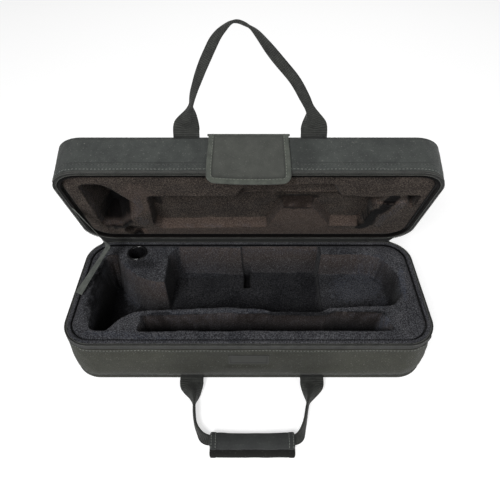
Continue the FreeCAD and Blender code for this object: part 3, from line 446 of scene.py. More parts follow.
def plush(name, dark, light, glint_tone, painted_light_tone, painted_highlight_tone, sheen=0.05):
    """Short crushed pile: soft patches where the nap lies one way or the other, painted glints,
    painted light and highlights.
    """
    p = Paint(name, 0.95, sheen=sheen, specular=0.03)
    nap, patch = p.noise(p.body, 26.0, 5.0, 0.62, 0.6), p.noise(p.body, 8.0, 3.0, 0.5, 0.4)
    tuft = p.noise(p.body, 520.0, 3.0, 0.7)
    hair = p.noise(p.stretched(1.0, 2.6, 1.0), 1400.0, 2.0, 0.7)
    streak = p.noise(p.stretched(1.0, 1.0, 0.4), 300.0, 4.0, 0.7)
    painted_light = p.value("painted_light")
    base = p.ramp(p.total((nap, 0.6), (patch, 0.4)), 0.34, dark, 0.66, light)
    # painted light: lit walls and lit patches take a lighter, browner tone and fewer dark dots
    base = p.blend(p.range(painted_light, 0.0, 1.0, 0.0, 0.8), base, painted_light_tone)
    dots = p.math("MULTIPLY", p.range(tuft, 0.38, 0.58, 0.8, 0.0),
                  p.range(painted_light, 0.0, 1.0, 1.0, 0.55))
    # painted glints on the fibre tips
    glint = p.math("MULTIPLY", p.range(hair, 0.52, 0.70, 0.0, 1.0),
                   p.range(tuft, 0.5, 0.64, 0.0, 0.55))
    lively = p.blend(glint, p.blend(dots, base, (7, 7, 9)), glint_tone)
    # painted highlight: sheen streaks on crests and on sheen patches
    shine = p.math("MULTIPLY", p.value("painted_highlight"), p.range(streak, 0.4, 0.66, 0.0, 0.6))
    p.colour(p.blend(shine, lively, painted_highlight_tone), 0.97)
    p.bump(p.total((tuft, 0.8), (hair, 0.5), (nap, 0.7)), 0.0006, 0.8)
    return p.material


def moulded(name, dark, light, roughness, grain=1500.0, coat=0.0, bump=0.00004):
    """Moulded plastic with a fine grain and faint scuffs."""
    p = Paint(name, roughness, coat=coat)
    scuff = p.noise(p.stretched(1.0, 6.0, 1.0), 120.0, 4.0, 0.7)
    p.colour(p.ramp(scuff, 0.35, dark, 0.7, light))
    p.rough(p.range(scuff, 0.3, 0.75, roughness, roughness + 0.22))
    p.bump(p.noise(p.body, grain, 3.0, 0.6), bump, 0.6)
    return p.material


def painted_metal(name, dark, light):
    """Painted die-cast metal, rubbed along its edges."""
    p = Paint(name, 0.36, metallic=0.85)
    scratch = p.noise(p.stretched(1.0, 1.0, 9.0), 260.0, 3.0, 0.7)
    worn = p.node("ShaderNodeNewGeometry", {}).outputs["Pointiness"]
    base = p.ramp(p.noise(p.body, 800.0, 4.0, 0.6), 0.3, dark, 0.7, light)
    p.colour(p.blend(p.range(worn, 0.52, 0.60, 0.0, 0.8), base, (150, 148, 142)))
    p.rough(p.range(scratch, 0.3, 0.7, 0.28, 0.5))
    p.bump(scratch, 0.00005, 0.5)
    return p.material


def fibreboard(name, dark, light):
    p = Paint(name, 0.85)
    fibre = p.noise(p.stretched(1.0, 4.0, 1.0), 300.0, 5.0, 0.7)
    p.colour(p.ramp(fibre, 0.3, dark, 0.7, light))
    p.bump(fibre, 0.0002, 0.6)
    return p.material


def foamed(name, dark, light):
    p = Paint(name, 0.95)
    cell = p.node("ShaderNodeTexVoronoi", {"Vector": p.body, "Scale": 900.0}).outputs["Distance"]
    p.colour(p.ramp(cell, 0.1, dark, 0.6, light))
    p.bump(cell, 0.0004, 0.8)
    return p.material


def twisted(name, colour):
    """Sewing thread."""
    p = Paint(name, 0.55, sheen=0.1, specular=0.4)
    twist = p.wave(p.cloth(), 0.8, "DIAGONAL", 0.2, 0.0)
    p.colour(p.blend(p.range(twist, 0.1, 0.8, 0.45, 0.0), colour, (16, 16, 16)))
    p.bump(twist, 0.00012, 0.8)
    return p.material


SHELL = woven("shell_cloth", (43, 44, 37), (66, 67, 58), 0.95, 0.08, 1.6)
SHELL_LID = woven("lid_cloth", (51, 54, 53), (76, 80, 77), 0.95, wear=1.5)
PIPING = woven("piping_cloth", (50, 52, 52), (74, 76, 74), 0.8, wear=1.0)
FLAP = woven("flap_cloth", (62, 64, 60), (82, 84, 79), wear=0.8)
SPINE = woven("spine_cloth", (42, 43, 41), (62, 63, 60))
GRIP = woven("grip_cloth", (38, 40, 40), (58, 60, 59))
GRIP_UNDER = woven("grip_pad_cloth", (18, 18, 16), (32, 32, 29))
BINDING = ribbed("binding_tape", (66, 70, 64), (92, 97, 88), 1.3)
WEBBING = ribbed("webbing", (32, 33, 31), (55, 57, 53), 2.7, sheen=0.03, depth=0.0005)
TAPE = ribbed("zip_tape_cloth", (40, 41, 40), (60, 61, 59), 1.1, "Y", "X", 0.02)
TAPE_DARK = ribbed("zip_web_cloth", (22, 22, 22), (36, 36, 36), 1.1, "Y", "X", 0.02)
BEAD = ribbed("lining_edge", (70, 71, 67), (98, 99, 93), 1.4)
RIBBON = ribbed("strap_ribbon", (74, 78, 74), (104, 108, 102), 1.9, sheen=0.03)
BASE_PLUSH = plush("base_plush", (53, 54, 58), (84, 84, 87), (190, 192, 200), (66, 57, 52),
                   (74, 80, 94))
# The lid's plush is the base's black pile; its brown tint is painted reflected light.
LID_PLUSH = plush("lid_plush", (57, 50, 46), (86, 77, 70), (190, 176, 164), (82, 70, 64),
                  (76, 82, 94))
HOOK = plush("hook_and_loop", (20, 20, 21), (38, 38, 40), (110, 110, 112), (30, 30, 30),
             (60, 60, 60), 0.1)
COIL = moulded("zip_coil_nylon", (9, 9, 10), (20, 20, 21), 0.42)
PLASTIC = moulded("black_plastic", (12, 12, 13), (26, 26, 28), 0.2, coat=0.4)
LABEL = moulded("label_rubber", (41, 42, 38), (57, 58, 53), 0.6, 700.0, bump=0.00012)
METAL = painted_metal("slider_metal", (34, 34, 36), (58, 58, 60))
BOARD = fibreboard("fibre_board", (92, 84, 72), (126, 116, 100))
FOAM = foamed("grey_foam", (30, 30, 32), (62, 62, 66))
THREAD = twisted("stitch_thread", (132, 136, 130))
THREAD_DARK = twisted("stitch_thread_dark", (84, 87, 84))
THREAD_FLAP = twisted("flap_thread", (126, 130, 120))

# The rigid nodes that stay get their finish here
KEPT = {"base_floor_board": BOARD, "lid_top_board": BOARD, "flap_stiffener": BOARD,
        "zip_slider_left": METAL, "zip_slider_right": METAL,
        "zip_pull_left": METAL, "zip_pull_right": METAL}
for node, material in KEPT.items():
    slots = frame["nodes"][node].material_slots
    if not slots:
        frame["nodes"][node].data.materials.append(material)
    for entry in slots:
        entry.material = material


# ---------- cloth shells ----------
def wall_shade(rows, seams, stretches):
    """Painted shade in lines along the seams (height, half width, amount), and soft painted shadow
    over stretches of the front wall beside the handle and flap (middle, half length, fade, amount)."""
    shade = np.zeros(rows.shape[:2])
    for height, reach, amount in seams:
        shade = np.maximum(shade, amount * np.exp(-((rows[..., 2] - height) / reach) ** 2))
    front = smooth((-rows[..., 1] - 100) / 12)
    for middle, half, fade, amount in stretches:
        reach = smooth((half - np.abs(rows[..., 0] - middle)) / fade + 0.5)
        shade = np.maximum(shade, amount * reach * front)
    return shade


def shell(name, rows, material, body, over, seams, stretches):
    """A padded cloth shell, closed by its rings that meet along the middle."""
    cloth = cloth_map(S[None], lengths(rows[:, 0, 1:])[:, None])
    build(name, rows, grid_faces(len(rows), len(S), wrap_columns=True), material,
          body, over, PLACE[body], cloth, ROUND, 0.02,
          {"shade": wall_shade(rows, seams, stretches)})


# Heights of the walls' cloth: the cord, the seam beside it, the hem, the edge past the hem
BASE_CORD, BASE_SEAM, BASE_HEM, BASE_EDGE = 11.0, 12.2, 79.0, 87.2
LID_CORD, LID_SEAM, LID_HEM, LID_EDGE = 159.8, 158.6, 117.0, 103.9
BASE_STITCH, LID_STITCH, LID_SECOND_STITCH = 82.65, 106.75, 114.35
LABEL_LOW, LABEL_HIGH = box("front_label")
LABEL_HALF = (LABEL_HIGH - LABEL_LOW) / 2
LABEL_Z = (LABEL_HIGH[2] + LABEL_LOW[2]) / 2


def base_bulge(s, inset, z):
    if z < BASE_SEAM or z > BASE_EDGE or inset > 0.9:
        return np.zeros(s.shape)
    anchor, normal = rim_at(s)
    rise = z - BASE_SEAM
    crown = (1.25 * np.sin(np.pi * np.clip(rise / 67, 0, 1)) ** 0.7
             + 1.5 * math.exp(-((z - 26) / 17) ** 2) * smooth(rise / 9))
    place = cloth_map(s, z)
    slow = 0.34 * ripple(place, 70, 3)
    gather = 0.36 * math.exp(-rise / 11) * ripple_along(s, 15, 5)
    creases = 0.32 * corner_share(s) * ripple(place * [1.0, 0.35], 13, 7)
    near_hem = math.exp(-max(BASE_HEM - z, 0) / 8) if z < BASE_HEM + 0.4 else 0.25
    hem = 0.16 * near_hem * ripple_along(s, 11, 9)
    flat = np.where(normal[:, 1] < -0.9,
                    smooth((LABEL_HALF[0] + 12 - np.abs(anchor[:, 0])) / 10), 0)
    flat = flat * smooth((22 - abs(z - LABEL_Z)) / 8)
    return (crown + slow + creases) * (1 - 0.85 * flat) * min(1, (z - 12) / 5) + gather + hem


def lid_bulge(s, inset, z):
    if z > LID_SEAM or z < LID_EDGE or inset > 0.9:
        return np.zeros(s.shape)
    crown = 0.75 * np.sin(np.pi * np.clip((z - 104) / 54.4, 0, 1)) ** 0.8
    place = cloth_map(s, z)
    slow = 0.26 * ripple(place, 60, 33)
    gather = 0.3 * math.exp(-(LID_SEAM - z) / 9) * ripple_along(s, 14, 35)
    creases = 0.3 * corner_share(s) * ripple(place * [1.0, 0.35], 13, 37)
    hem = 0.12 * math.exp(-abs(z - LID_HEM) / 6) * ripple_along(s, 11, 39)
    return (crown + slow + creases) * min(1, (LID_SEAM - z) / 5) + gather + hem


def sole_lift(xy, t):
    return 0.22 * (1 + np.clip(ripple(xy, 60, 11), -1, 1)) * smooth(t * 3)


def crown_lift(xy, t):
    pull = 0.5 * np.exp(-(t * 110) / 14) * ripple(xy * [1, 0.2], 16, 41)
    return 1.9 * smooth(t * 2.2) + 0.45 * ripple(xy, 80, 43) * smooth(t * 4) + pull * smooth(t * 14)


# Profiles of (inset, z): the bottom's round, the corded seam, the wall, the hem, and back inside
bottom_round = [(5.4 - 5.9 * math.sin(a), 6.2 - 6.2 * math.cos(a))
                for a in np.radians(np.linspace(0, 90, 10))]
base_profile = ([(14, 0.0), (9, 0.0)] + bottom_round
                + [(-0.5, 8.2), (-0.1, 9.5), (0.9, 10.1), (1.05, 11.0), (0.9, 11.9), (0.2, 12.5)]
                + [(0, z) for z in (13.6, 15.4, 17.6, 20, 23, 26.5, 30, 34, 38, 42, 46, 50, 54, 58,
                                    62, 66, 69.5, 72.5, 75, 77, 78.6)]
                + [(-0.1, 79.3), (-0.62, 79.9), (-0.68, 81.2), (-0.3, 82.4), (-0.28, 82.9),
                   (-0.68, 84.0), (-0.7, 86.2), (-0.35, 87.3), (0.4, 87.7), (1.05, 87.5),
                   (1.1, 84), (1.1, 50), (1.1, 14), (1.2, 9.5), (4.0, 3.4), (10, 1.15), (14, 1.1)])
outer = ring_loft(S, base_profile, base_bulge)
outer[..., 2] = np.maximum(outer[..., 2], 0)
sole = to_middle(outer[0], 14, 0.0, sole_lift)[::-1]
inside = to_middle(outer[-1], 8, 1.1, lambda xy, t: 0.1 * t)
# The last table paints shadow on the front wall round the handle.
shell("base_shell", np.concatenate([sole, outer, inside]), SHELL, "base",
      "base_bottom_panel base_side_band",
      [(BASE_CORD, 2.0, 0.6), (79.5, 0.9, 0.4), (BASE_STITCH, 0.5, 0.3), (88.0, 1.5, 1.0)],
      [(8.0, 124.0, 62.0, 0.36)])

lid_profile = ([(1.1, 108), (1.05, 104.6), (0.5, 104.0), (-0.3, 104.2), (-0.62, 105.2),
                (-0.3, 106.5), (-0.28, 107.0), (-0.62, 108.4), (-0.66, 112.6), (-0.3, 114.1),
                (-0.28, 114.6), (-0.6, 115.8), (-0.55, 116.6), (0, 117.4)]
               + [(0, z) for z in (119, 121.5, 124, 127, 130, 133, 136, 139, 142, 145, 148, 150.5,
                                   152.6, 154.4, 156, 157.2)]
               + [(0.15, 158.0), (0.7, 158.6), (1.15, 159.3), (1.25, 160.1), (1.9, 160.8),
                  (3.6, 161.15), (6.5, 161.3), (10, 161.5), (14, 161.8)])
outer = ring_loft(S, lid_profile, lid_bulge)
inner = ring_loft(S, [(14.0, 159.9), (6.0, 159.9), (2.0, 159.0), (1.1, 156), (1.1, 140),
                      (1.1, 124)])
inner_top = to_middle(inner[0], 8, 159.9, lambda xy, t: 0.0)[::-1]
outer_top = to_middle(outer[-1], 24, 161.8, crown_lift)
# The last table paints shadow on the front wall beside the flap.
shell("lid_shell", np.concatenate([inner_top, inner, outer, outer_top]),
      SHELL_LID, "lid", "lid_side_band lid_top_panel",
      [(103.6, 1.0, 0.8), (LID_STITCH, 0.5, 0.3), (LID_SECOND_STITCH, 0.5, 0.3),
       (117.2, 0.8, 0.45), (158.9, 1.0, 1.0)],
      [(74.0, 18.0, 26.0, 0.36), (-72.0, 9.0, 14.0, 0.26)])


def piping(name, height, body, over, seed):
    """Cloth-covered cord along a seam."""
    s = np.arange(700) / 700 * ROUND
    radius = 1.2 + 0.05 * ripple_along(s, 9, seed)
    rows = [ring(s, 1.0 - radius * math.cos(a), height + radius * math.sin(a)) for a in circle(12)]
    hoop(name, s, rows, np.arange(12) * 0.63, PIPING, body, over)


def hem_stitches(name, height, inset, body, material, bulge):
    """A row of stitches that lies on the bulging wall."""
    s = np.arange(0, ROUND - 3, 5.3)
    out = outward(s)
    along = np.stack([-out[:, 1], out[:, 0], np.full(len(s), 0.06)], 1)
    origins = ring(s, inset - bulge(s, 0.0, height), height)
    points, faces, thread = stitches(origins, along, (0, 0, 1), out, 3.5, 0.8, 0.45)
    build(name, points, faces, material, body, "", PLACE[body], thread)


piping("base_piping", BASE_CORD, "base", "base_seam_cord", 21)
piping("lid_piping", LID_CORD, "lid", "lid_seam_cord", 22)
hem_stitches("base_hem_stitches", BASE_STITCH, -0.3, "base", THREAD, base_bulge)
hem_stitches("lid_hem_stitches", LID_STITCH, -0.28, "lid", THREAD, lid_bulge)
hem_stitches("lid_hem_second_stitches", LID_SECOND_STITCH, -0.1, "lid", THREAD_DARK, lid_bulge)


# ---------- zip ----------
def strip(name, profile, material, body, over=""):
    """A strip along the rim, open at the spine, from a closed profile of (inset, z)."""
    s = np.linspace(SPINE_HALF, ROUND - SPINE_HALF,
                    int(round((ROUND - 2 * SPINE_HALF) / 2.6)) + 1)
    columns = np.transpose(ring_loft(s, profile), (1, 0, 2))
    build(name, columns, tube_faces(len(s), len(profile)), material, body, over,
          PLACE[body], cloth_map(s[:, None], lengths(profile)[None]))


def rolled(inset, z, radius=0.42):
    return [(inset + radius * math.cos(a), z + radius * math.sin(a)) for a in circle(8)]


strip("base_zip_tape", [(0.25, 86.6), (-0.05, 87.6), (0.02, 89.0), (0.2, 91.0), (0.12, 93.2),
                        (0.0, 94.6), (0.25, 95.9), (0.85, 96.1), (2.4, 95.9), (4.9, 95.7),
                        (4.9, 95.2), (1.2, 95.3), (1.0, 94.6), (1.0, 87.0)],
      TAPE, "base", "base_zip_tape")
strip("lid_zip_tape", [(1.0, 104.6), (1.0, 101.8), (1.2, 101.3), (4.9, 101.3), (4.9, 100.8),
                       (2.4, 100.6), (0.85, 100.5), (0.25, 100.6), (0.0, 101.6),
                       (0.12, 102.6), (-0.05, 103.8), (0.25, 104.7)],
      TAPE, "lid", "lid_zip_tape")
strip("base_tape_edge", rolled(0.25, 95.9), BEAD, "base")
strip("lid_tape_edge", rolled(0.35, 100.75), BEAD, "lid")
strip("lid_tape_fold", rolled(-0.1, 103.6), BEAD, "lid")


def coil(name, height, body, over):
    """The zip's spiral of nylon, one loop to a tooth."""
    pitch, per_turn, start = 2.3, 9, SPINE_HALF + 15
    turns = int((ROUND - 2 * start) / pitch)
    t = np.arange(turns * per_turn + 1) / per_turn
    s, a = start + t * pitch, 2 * math.pi * t
    centre = ring(s, 0.5 - 0.28 * np.cos(a), height + 0.62 * np.sin(a))
    tangent, out = unit(np.gradient(centre, axis=0)), outward(s)
    side = unit(out - tangent * (out * tangent).sum(1, keepdims=True))
    section = [(0.27 * math.cos(b), 0.3 * math.sin(b)) for b in circle(6)]
    points, faces, thread = sweep(centre, side, np.cross(tangent, side), section)
    build(name, points, faces, COIL, body, over, PLACE[body], thread)


coil("base_zip_coil", 97.1, "base", "base_zip_coil")
coil("lid_zip_coil", 99.5, "lid", "lid_zip_coil")


# ---------- wall foam and plush rims ----------
def padded_ring(name, profile, material, body, over, bulge=None, shade=None):
    piece = hoop(name, S, ring_loft(S, profile, bulge), lengths(profile), material, body,
                 over, shade)


def lip_bulge(s, inset, z):
    return -np.abs(0.14 * ripple(cloth_map(s, inset * 3 + z), 12, 51))


def bead(name, inset, z, body):
    """The sewn edge of the lining, a thin raised line beside the zip."""
    s = np.arange(640) / 640 * ROUND
    wave = 0.08 * ripple_along(s, 13, 53)
    rows = [ring(s, inset + 0.5 * math.cos(a) + wave, z + 0.5 * math.sin(a)) for a in circle(8)]
    hoop(name, s, rows, np.arange(8) * 0.4, BEAD, body)


padded_ring("base_wall_foam", [(10.2, 2.0), (9.4, 1.4), (4.8, 1.6), (2.0, 4.6), (1.4, 12.0),
                               (1.3, 94.4), (2.0, 95.2), (9.6, 95.2), (10.3, 94.4)],
            FOAM, "base", "base_wall_frame")
padded_ring("lid_wall_foam", [(10.3, 102.0), (9.6, 101.2), (2.0, 101.2), (1.3, 102.0),
                              (1.4, 156.6), (2.4, 159.0), (9.4, 159.2), (10.2, 158.2)],
            FOAM, "lid", "lid_wall_frame")
# The lips' last values are painted shade on both flanks, in the gaps beside the bed and the zip;
# the lid's lip is painted dark all round.
padded_ring("base_rim_lip", [(10.9, 88.0), (10.7, 93.0), (10.3, 95.4), (9.7, 96.8),
                             (8.7, 97.6), (7.2, 98.0), (5.6, 97.8), (4.3, 97.2), (3.7, 96.3),
                             (3.6, 95.6), (7.5, 94.6), (10.0, 93.0)],
            BASE_PLUSH, "base", "base_rim_lining", lip_bulge,
            (1, 1, 1, 0.6, 0, 0, 0, 0.1, 0.6, 1, 1, 1))
padded_ring("lid_rim_lip", [(10.0, 105.0), (7.5, 102.0), (4.8, 101.6), (4.9, 101.0),
                            (5.6, 100.5), (6.8, 100.3), (8.0, 100.2), (9.0, 100.0),
                            (9.8, 99.6), (10.5, 99.9), (10.8, 102.0), (10.9, 110.0)],
            LID_PLUSH, "lid", "lid_rim_lining", lip_bulge,
            (1, 1, 1, 1, 1, 1, 1, 1, 0.9, 0.9, 1, 1))
bead("base_lining_edge", 3.2, 96.5, "base")
bead("lid_lining_edge", 5.0, 100.2, "lid")

# ---------- plush beds ----------
BED_INSET = 10.9
BED_X, BED_Y, BED_CORNER = HALF_X - BED_INSET, HALF_Y - BED_INSET, CORNER - BED_INSET
BED_COLUMNS, BED_ROWS = 400, 170


def rounded(shares):
    """An outline with rounded corners, from (x, y, rounding) in shares of the half sizes."""
    points = [np.array([x * HALF_X, y * HALF_Y]) for x, y, _ in shares]
    out = []
    for k, (_, _, share) in enumerate(shares):
        out += round_bend(points[k - 1], points[k], points[(k + 1) % len(points)], share)
    return np.array(out)


def inside_distance(points, loop):
    """Distance to a closed outline, positive inside it."""
    best = np.full(len(points), 1e9)
    crossings = np.zeros(len(points), int)
    for p, q in zip(loop, np.roll(loop, -1, 0)):
        edge = q - p
        if edge @ edge < 1e-12:
            continue
        t = np.clip(((points - p) @ edge) / (edge @ edge), 0, 1)
        best = np.minimum(best, ((points - p - t[:, None] * edge) ** 2).sum(1))
        spans = (p[1] > points[:, 1]) != (q[1] > points[:, 1])
        x = p[0] + (points[:, 1] - p[1]) / (edge[1] or 1) * edge[0]
        crossings += spans & (points[:, 0] < x)
    return np.where(crossings % 2, 1, -1) * np.sqrt(best)


def bed_grid():
    """Plan places of the bed's grid, whose rows end on its outline."""
    y = np.linspace(-BED_Y, BED_Y, BED_ROWS)
    y = np.sign(y) * BED_Y * (1 - (1 - np.abs(y) / BED_Y) ** 1.08)
    over = np.maximum(np.abs(y) - (BED_Y - BED_CORNER), 0)
    half = BED_X - BED_CORNER + np.sqrt(np.maximum(BED_CORNER ** 2 - over ** 2, 0))
    return cloth_map(half[:, None] * np.linspace(-1, 1, BED_COLUMNS)[None], y[:, None])


def edge_distance(xy):
    """Distance in from the bed's own outline."""
    q = np.abs(xy) - [BED_X - BED_CORNER, BED_Y - BED_CORNER]
    return BED_CORNER - np.linalg.norm(np.maximum(q, 0), axis=1) - np.minimum(q.max(1), 0)


def wall_curve(distance, slope):
    return 1 - (1 - np.clip(distance / slope, 0, 1)) ** 1.7


def dish(xy, recesses, rounds):
    """Depth, shade and wall share of recesses (outline, depth, slope run, shade) and of round
    ones (x, y, radius, depth, slope run, shade)."""
    depth, shade, share = np.zeros((3, len(xy)))
    for shares, low, slope, dark in recesses:
        d = inside_distance(xy, rounded(shares)) + 0.14 * ripple(xy, 60, 61)
        wall = wall_curve(d + 0.5, slope + 0.5)
        sag = 0.5 * smooth(d / 14) * ripple(xy, 38, 63)
        share = np.where(wall * low > depth, wall, share)
        depth = np.maximum(depth, wall * low + sag * (d > 0))
        shade = np.maximum(shade, dark * wall)
    for x, y, radius, low, slope, dark in rounds:
        d = radius - np.hypot(xy[:, 0] - x, xy[:, 1] - y)
        wall = wall_curve(d, slope)
        depth = np.maximum(depth, wall * low)
        shade = np.maximum(shade, dark * wall * (1 - 0.7 * smooth((d - slope) / 5)))
    return depth, shade, share


def painted_patches(xy, patches):
    """Patches of painted light and shade: (x, y, half length, half width, turn, amount)."""
    total = np.zeros(len(xy))
    for x, y, long, wide, turn, amount in patches:
        c, s = math.cos(math.radians(turn)), math.sin(math.radians(turn))
        along = ((xy[:, 0] - x) * c + (xy[:, 1] - y) * s) / long
        across = ((xy[:, 1] - y) * c - (xy[:, 0] - x) * s) / wide
        reach = np.hypot(along, across) + 0.09 * ripple(xy, 13, 67)
        total = np.maximum(total, amount * smooth((1.25 - reach) / 0.5))
    return total


def trail(line, wide, amount):
    """Painted patches that overlap along a line."""
    line = soften(resample(line, wide * 0.3), 6)
    return [(x, y, wide, wide * 0.9, 0, amount) for x, y in line]


def pile_tone(flat, depth, shade, share, dark, light, painted_light, groove_shade, groove_wide):
    """Painted light and shade on the pile: walls that face the hinge are painted lit and browner,
    the others painted dark, crests get a painted highlight, and a groove of painted shade runs
    round the edge."""
    fall_y, fall_x = [f.ravel() for f in np.gradient(depth.reshape(BED_ROWS, BED_COLUMNS))]
    fall = np.hypot(fall_x, fall_y)
    wall = smooth((fall - 0.5) / 1.5)
    lit = np.clip(-fall_y / np.maximum(fall, 0.2), 0, 1) ** 0.6 * wall
    lit = lit * (1 - shade * smooth((share - 0.3) / 0.45))
    lit = np.maximum(lit, painted_patches(flat, painted_light) * (depth < 3))
    shade = np.maximum(shade, 0.62 * wall) * (1 - 0.85 * lit)
    # painted shade patches, lifted where painted highlight patches lie
    shade = np.maximum(shade, painted_patches(flat, dark)) * (1 - 0.8 * painted_patches(flat, light))
    # a painted highlight along the crests of the recess edges
    crest = 0.5 * smooth(share / 0.06) * (1 - smooth((share - 0.12) / 0.25))
    shade = shade * (1 - crest)
    front = smooth((-flat[:, 1] - 70) / 20)
    groove = groove_shade + (0.97 - groove_shade) * front
    reach = smooth((edge_distance(flat) - groove_wide - 0.7 * front) / 1.6)
    shade = np.maximum(shade, groove * (1 - reach))
    return {"shade": shade, "painted_light": lit, "painted_highlight": np.maximum(painted_patches(flat, light), crest)}


def plush_bed(name, level, floor, recesses, rounds, dark, light, painted_light, groove, material,
              body, over):
    """A block of foam under plush, from its level face with lined recesses to its floor."""
    direction = 1 if level > floor else -1
    flat = bed_grid().reshape(-1, 2)
    depth, shade, share = dish(flat, recesses, rounds)
    edge = edge_distance(flat)
    puff = 0.5 * smooth(edge / 16) + 0.35 * ripple(flat, 48, 71) * smooth(edge / 10)
    fuzz = 0.1 * ripple(flat, 4.2, 73, 16) + 0.07 * ripple(flat, 2.6, 75, 16)
    roll = 1.6 * (1 - smooth(edge / 5))
    top = np.column_stack([flat, level + direction * (puff * (depth < 3) - roll - depth + fuzz)])
    index = np.arange(len(top)).reshape(BED_ROWS, BED_COLUMNS)
    loop = np.concatenate([index[0, :-1], index[:-1, -1], index[-1, :0:-1], index[:0:-1, 0]])
    rim, skirt = top[loop], []
    for t in (0.15, 0.6, 1.0):
        skirt.append(np.column_stack([rim[:, :2] * 0.999, rim[:, 2] * (1 - t) + floor * t]))
    below = len(top) + np.arange(3 * len(loop)).reshape(3, -1)
    faces = grid_faces(BED_ROWS, BED_COLUMNS).tolist()
    for upper, lower in zip([loop, *below], below):
        faces += np.stack([upper, lower, np.roll(lower, -1), np.roll(upper, -1)], 1).tolist()
    faces.append(below[-1].tolist())
    tones = pile_tone(flat, depth, shade, share, dark, light, painted_light, *groove)
    # the skirt's sides take full painted shade and no painted light
    values = {key: np.append(tone, np.full(below.size, float(key == "shade")))
              for key, tone in tones.items()}
    piece = build(name, np.concatenate([top] + skirt), faces, material, body, over,
                  PLACE[body], values=values)


FLARE = [(-0.865, -0.737, 0.48), (-0.772, -0.750, 0.18), (-0.710, -0.545, 0.17),
         (-0.640, -0.430, 0.20), (-0.552, -0.392, 0.03), (-0.450, -0.386, 0.08),
         (-0.450, 0.105, 0.06), (-0.570, 0.122, 0.16), (-0.655, 0.220, 0.12),
         (-0.735, 0.395, 0.08), (-0.790, 0.560, 0.17), (-0.812, 0.680, 0.32),
         (-0.885, 0.670, 0.48)]
MAIN = [(-0.500, -0.386, 0.05), (-0.128, -0.346, 0.02), (0.075, -0.368, 0.14),
        (0.131, -0.424, 0.10), (0.407, -0.424, 0.19), (0.448, -0.360, 0.09),
        (0.448, 0.640, 0.01), (0.441, 0.880, 0.13), (-0.044, 0.880, 0.29),
        (-0.050, 0.830, 0.31), (-0.445, 0.880, 0.21), (-0.493, 0.667, 0.09),
        (-0.493, 0.105, 0.41), (-0.500, 0.090, 0.08)]
END = [(0.400, -0.360, 0.14), (0.462, -0.351, 0.01), (0.817, -0.304, 0.41),
       (0.872, -0.130, 0.31), (0.886, 0.150, 0.20), (0.862, 0.440, 0.36),
       (0.800, 0.620, 0.30), (0.715, 0.689, 0.11), (0.400, 0.689, 0.03)]
SLOT = [(-0.601, -0.754, 0.21), (0.784, -0.745, 0.20), (0.736, -0.463, 0.09),
        (0.486, -0.443, 0.10), (0.424, -0.508, 0.10), (0.131, -0.508, 0.18),
        (0.100, -0.478, 0.17), (-0.125, -0.468, 0.01), (-0.581, -0.518, 0.13)]
SIDE_NOTCH = [(-0.043, 0.474, 0.13), (0.020, 0.474, 0.13), (0.020, 0.878, 0.13),
              (-0.043, 0.878, 0.13)]
LID_FLARE = [(-0.876, -0.680, 0.45), (-0.765, -0.672, 0.33), (-0.725, -0.580, 0.25),
             (-0.683, -0.386, 0.04), (-0.603, -0.079, 0.32), (-0.593, 0.044, 0.40),
             (-0.634, 0.210, 0.07), (-0.724, 0.435, 0.06), (-0.765, 0.560, 0.25),
             (-0.876, 0.545, 0.41)]
LID_MAIN = [(-0.545, -0.354, 0.09), (-0.060, -0.372, 0.01), (0.490, -0.392, 0.01),
            (0.734, -0.330, 0.44), (0.690, -0.090, 0.17), (0.693, 0.140, 0.06),
            (0.676, 0.460, 0.12), (0.660, 0.550, 0.13), (0.486, 0.550, 0.03),
            (0.352, -0.052, 0.03), (0.195, -0.070, 0.04), (0.110, 0.600, 0.04),
            (-0.530, 0.640, 0.28), (-0.566, 0.520, 0.20)]
LID_SHALLOW = [(-0.075, -0.340, 0.11), (-0.020, -0.625, 0.23), (0.438, -0.702, 0.15),
               (0.500, -0.360, 0.08)]
LID_POCKET = [(0.135, -0.270, 0.43), (0.480, -0.270, 0.23), (0.480, -0.180, 0.23),
              (0.200, -0.180, 0.03)]
LID_SHELF = [(0.690, -0.350, 0.11), (0.910, -0.392, 0.25), (0.905, -0.200, 0.30),
             (0.795, -0.120, 0.07), (0.700, -0.150, 0.08)]
LID_NOTCH = [(0.836, -0.330, 0.12), (0.916, -0.385, 0.13), (0.912, 0.020, 0.38)]

# After the recesses and round recesses: patches of painted shade, patches of painted highlight that
# also lift the shade, patches of painted light on the level face, and the groove's painted shade
# (amount, width).
plush_bed("base_plush_bed", 95.0, 6.6,
          [(FLARE, 73.0, 9.0, 0.8), (MAIN, 65.0, 5.0, 0.63), (END, 45.0, 6.0, 0.42),
           (SLOT, 50.0, 5.0, 0.97), (SIDE_NOTCH, 77.0, 4.0, 0.97)],
          [(CUP_X, CUP_Y, 17.4, 42.4, 1.0, 1.0)],
          [(-240, 0, 26, 74, 0, 0.93), (150, 60, 30, 7, 0, 0.2), (-196, 56, 30, 12, 0, 0.5),
           (-142, -58, 20, 9, 0, 0.9)]
          + trail([(-166, -60), (20, -57), (214, -54)], 7, 0.74)
          + trail([(236, 60), (250, 30), (250, -8)], 7, 0.75),
          [(196, 42, 52, 34, 20, 0.6), (261, 12, 36, 6, 84, 0.9), (225, -8, 30, 16, 60, 0.5),
           (-110, 92, 60, 10, 0, 0.25), (-190, -94, 70, 6, -4, 0.4), (-60, -50, 130, 6, 2, 0.35),
           (215, -68, 8, 16, 10, 0.9), (-215, 40, 12, 26, 30, 0.5)],
          [], (0.5, 0.3), BASE_PLUSH, "base", "base_foam_bed")
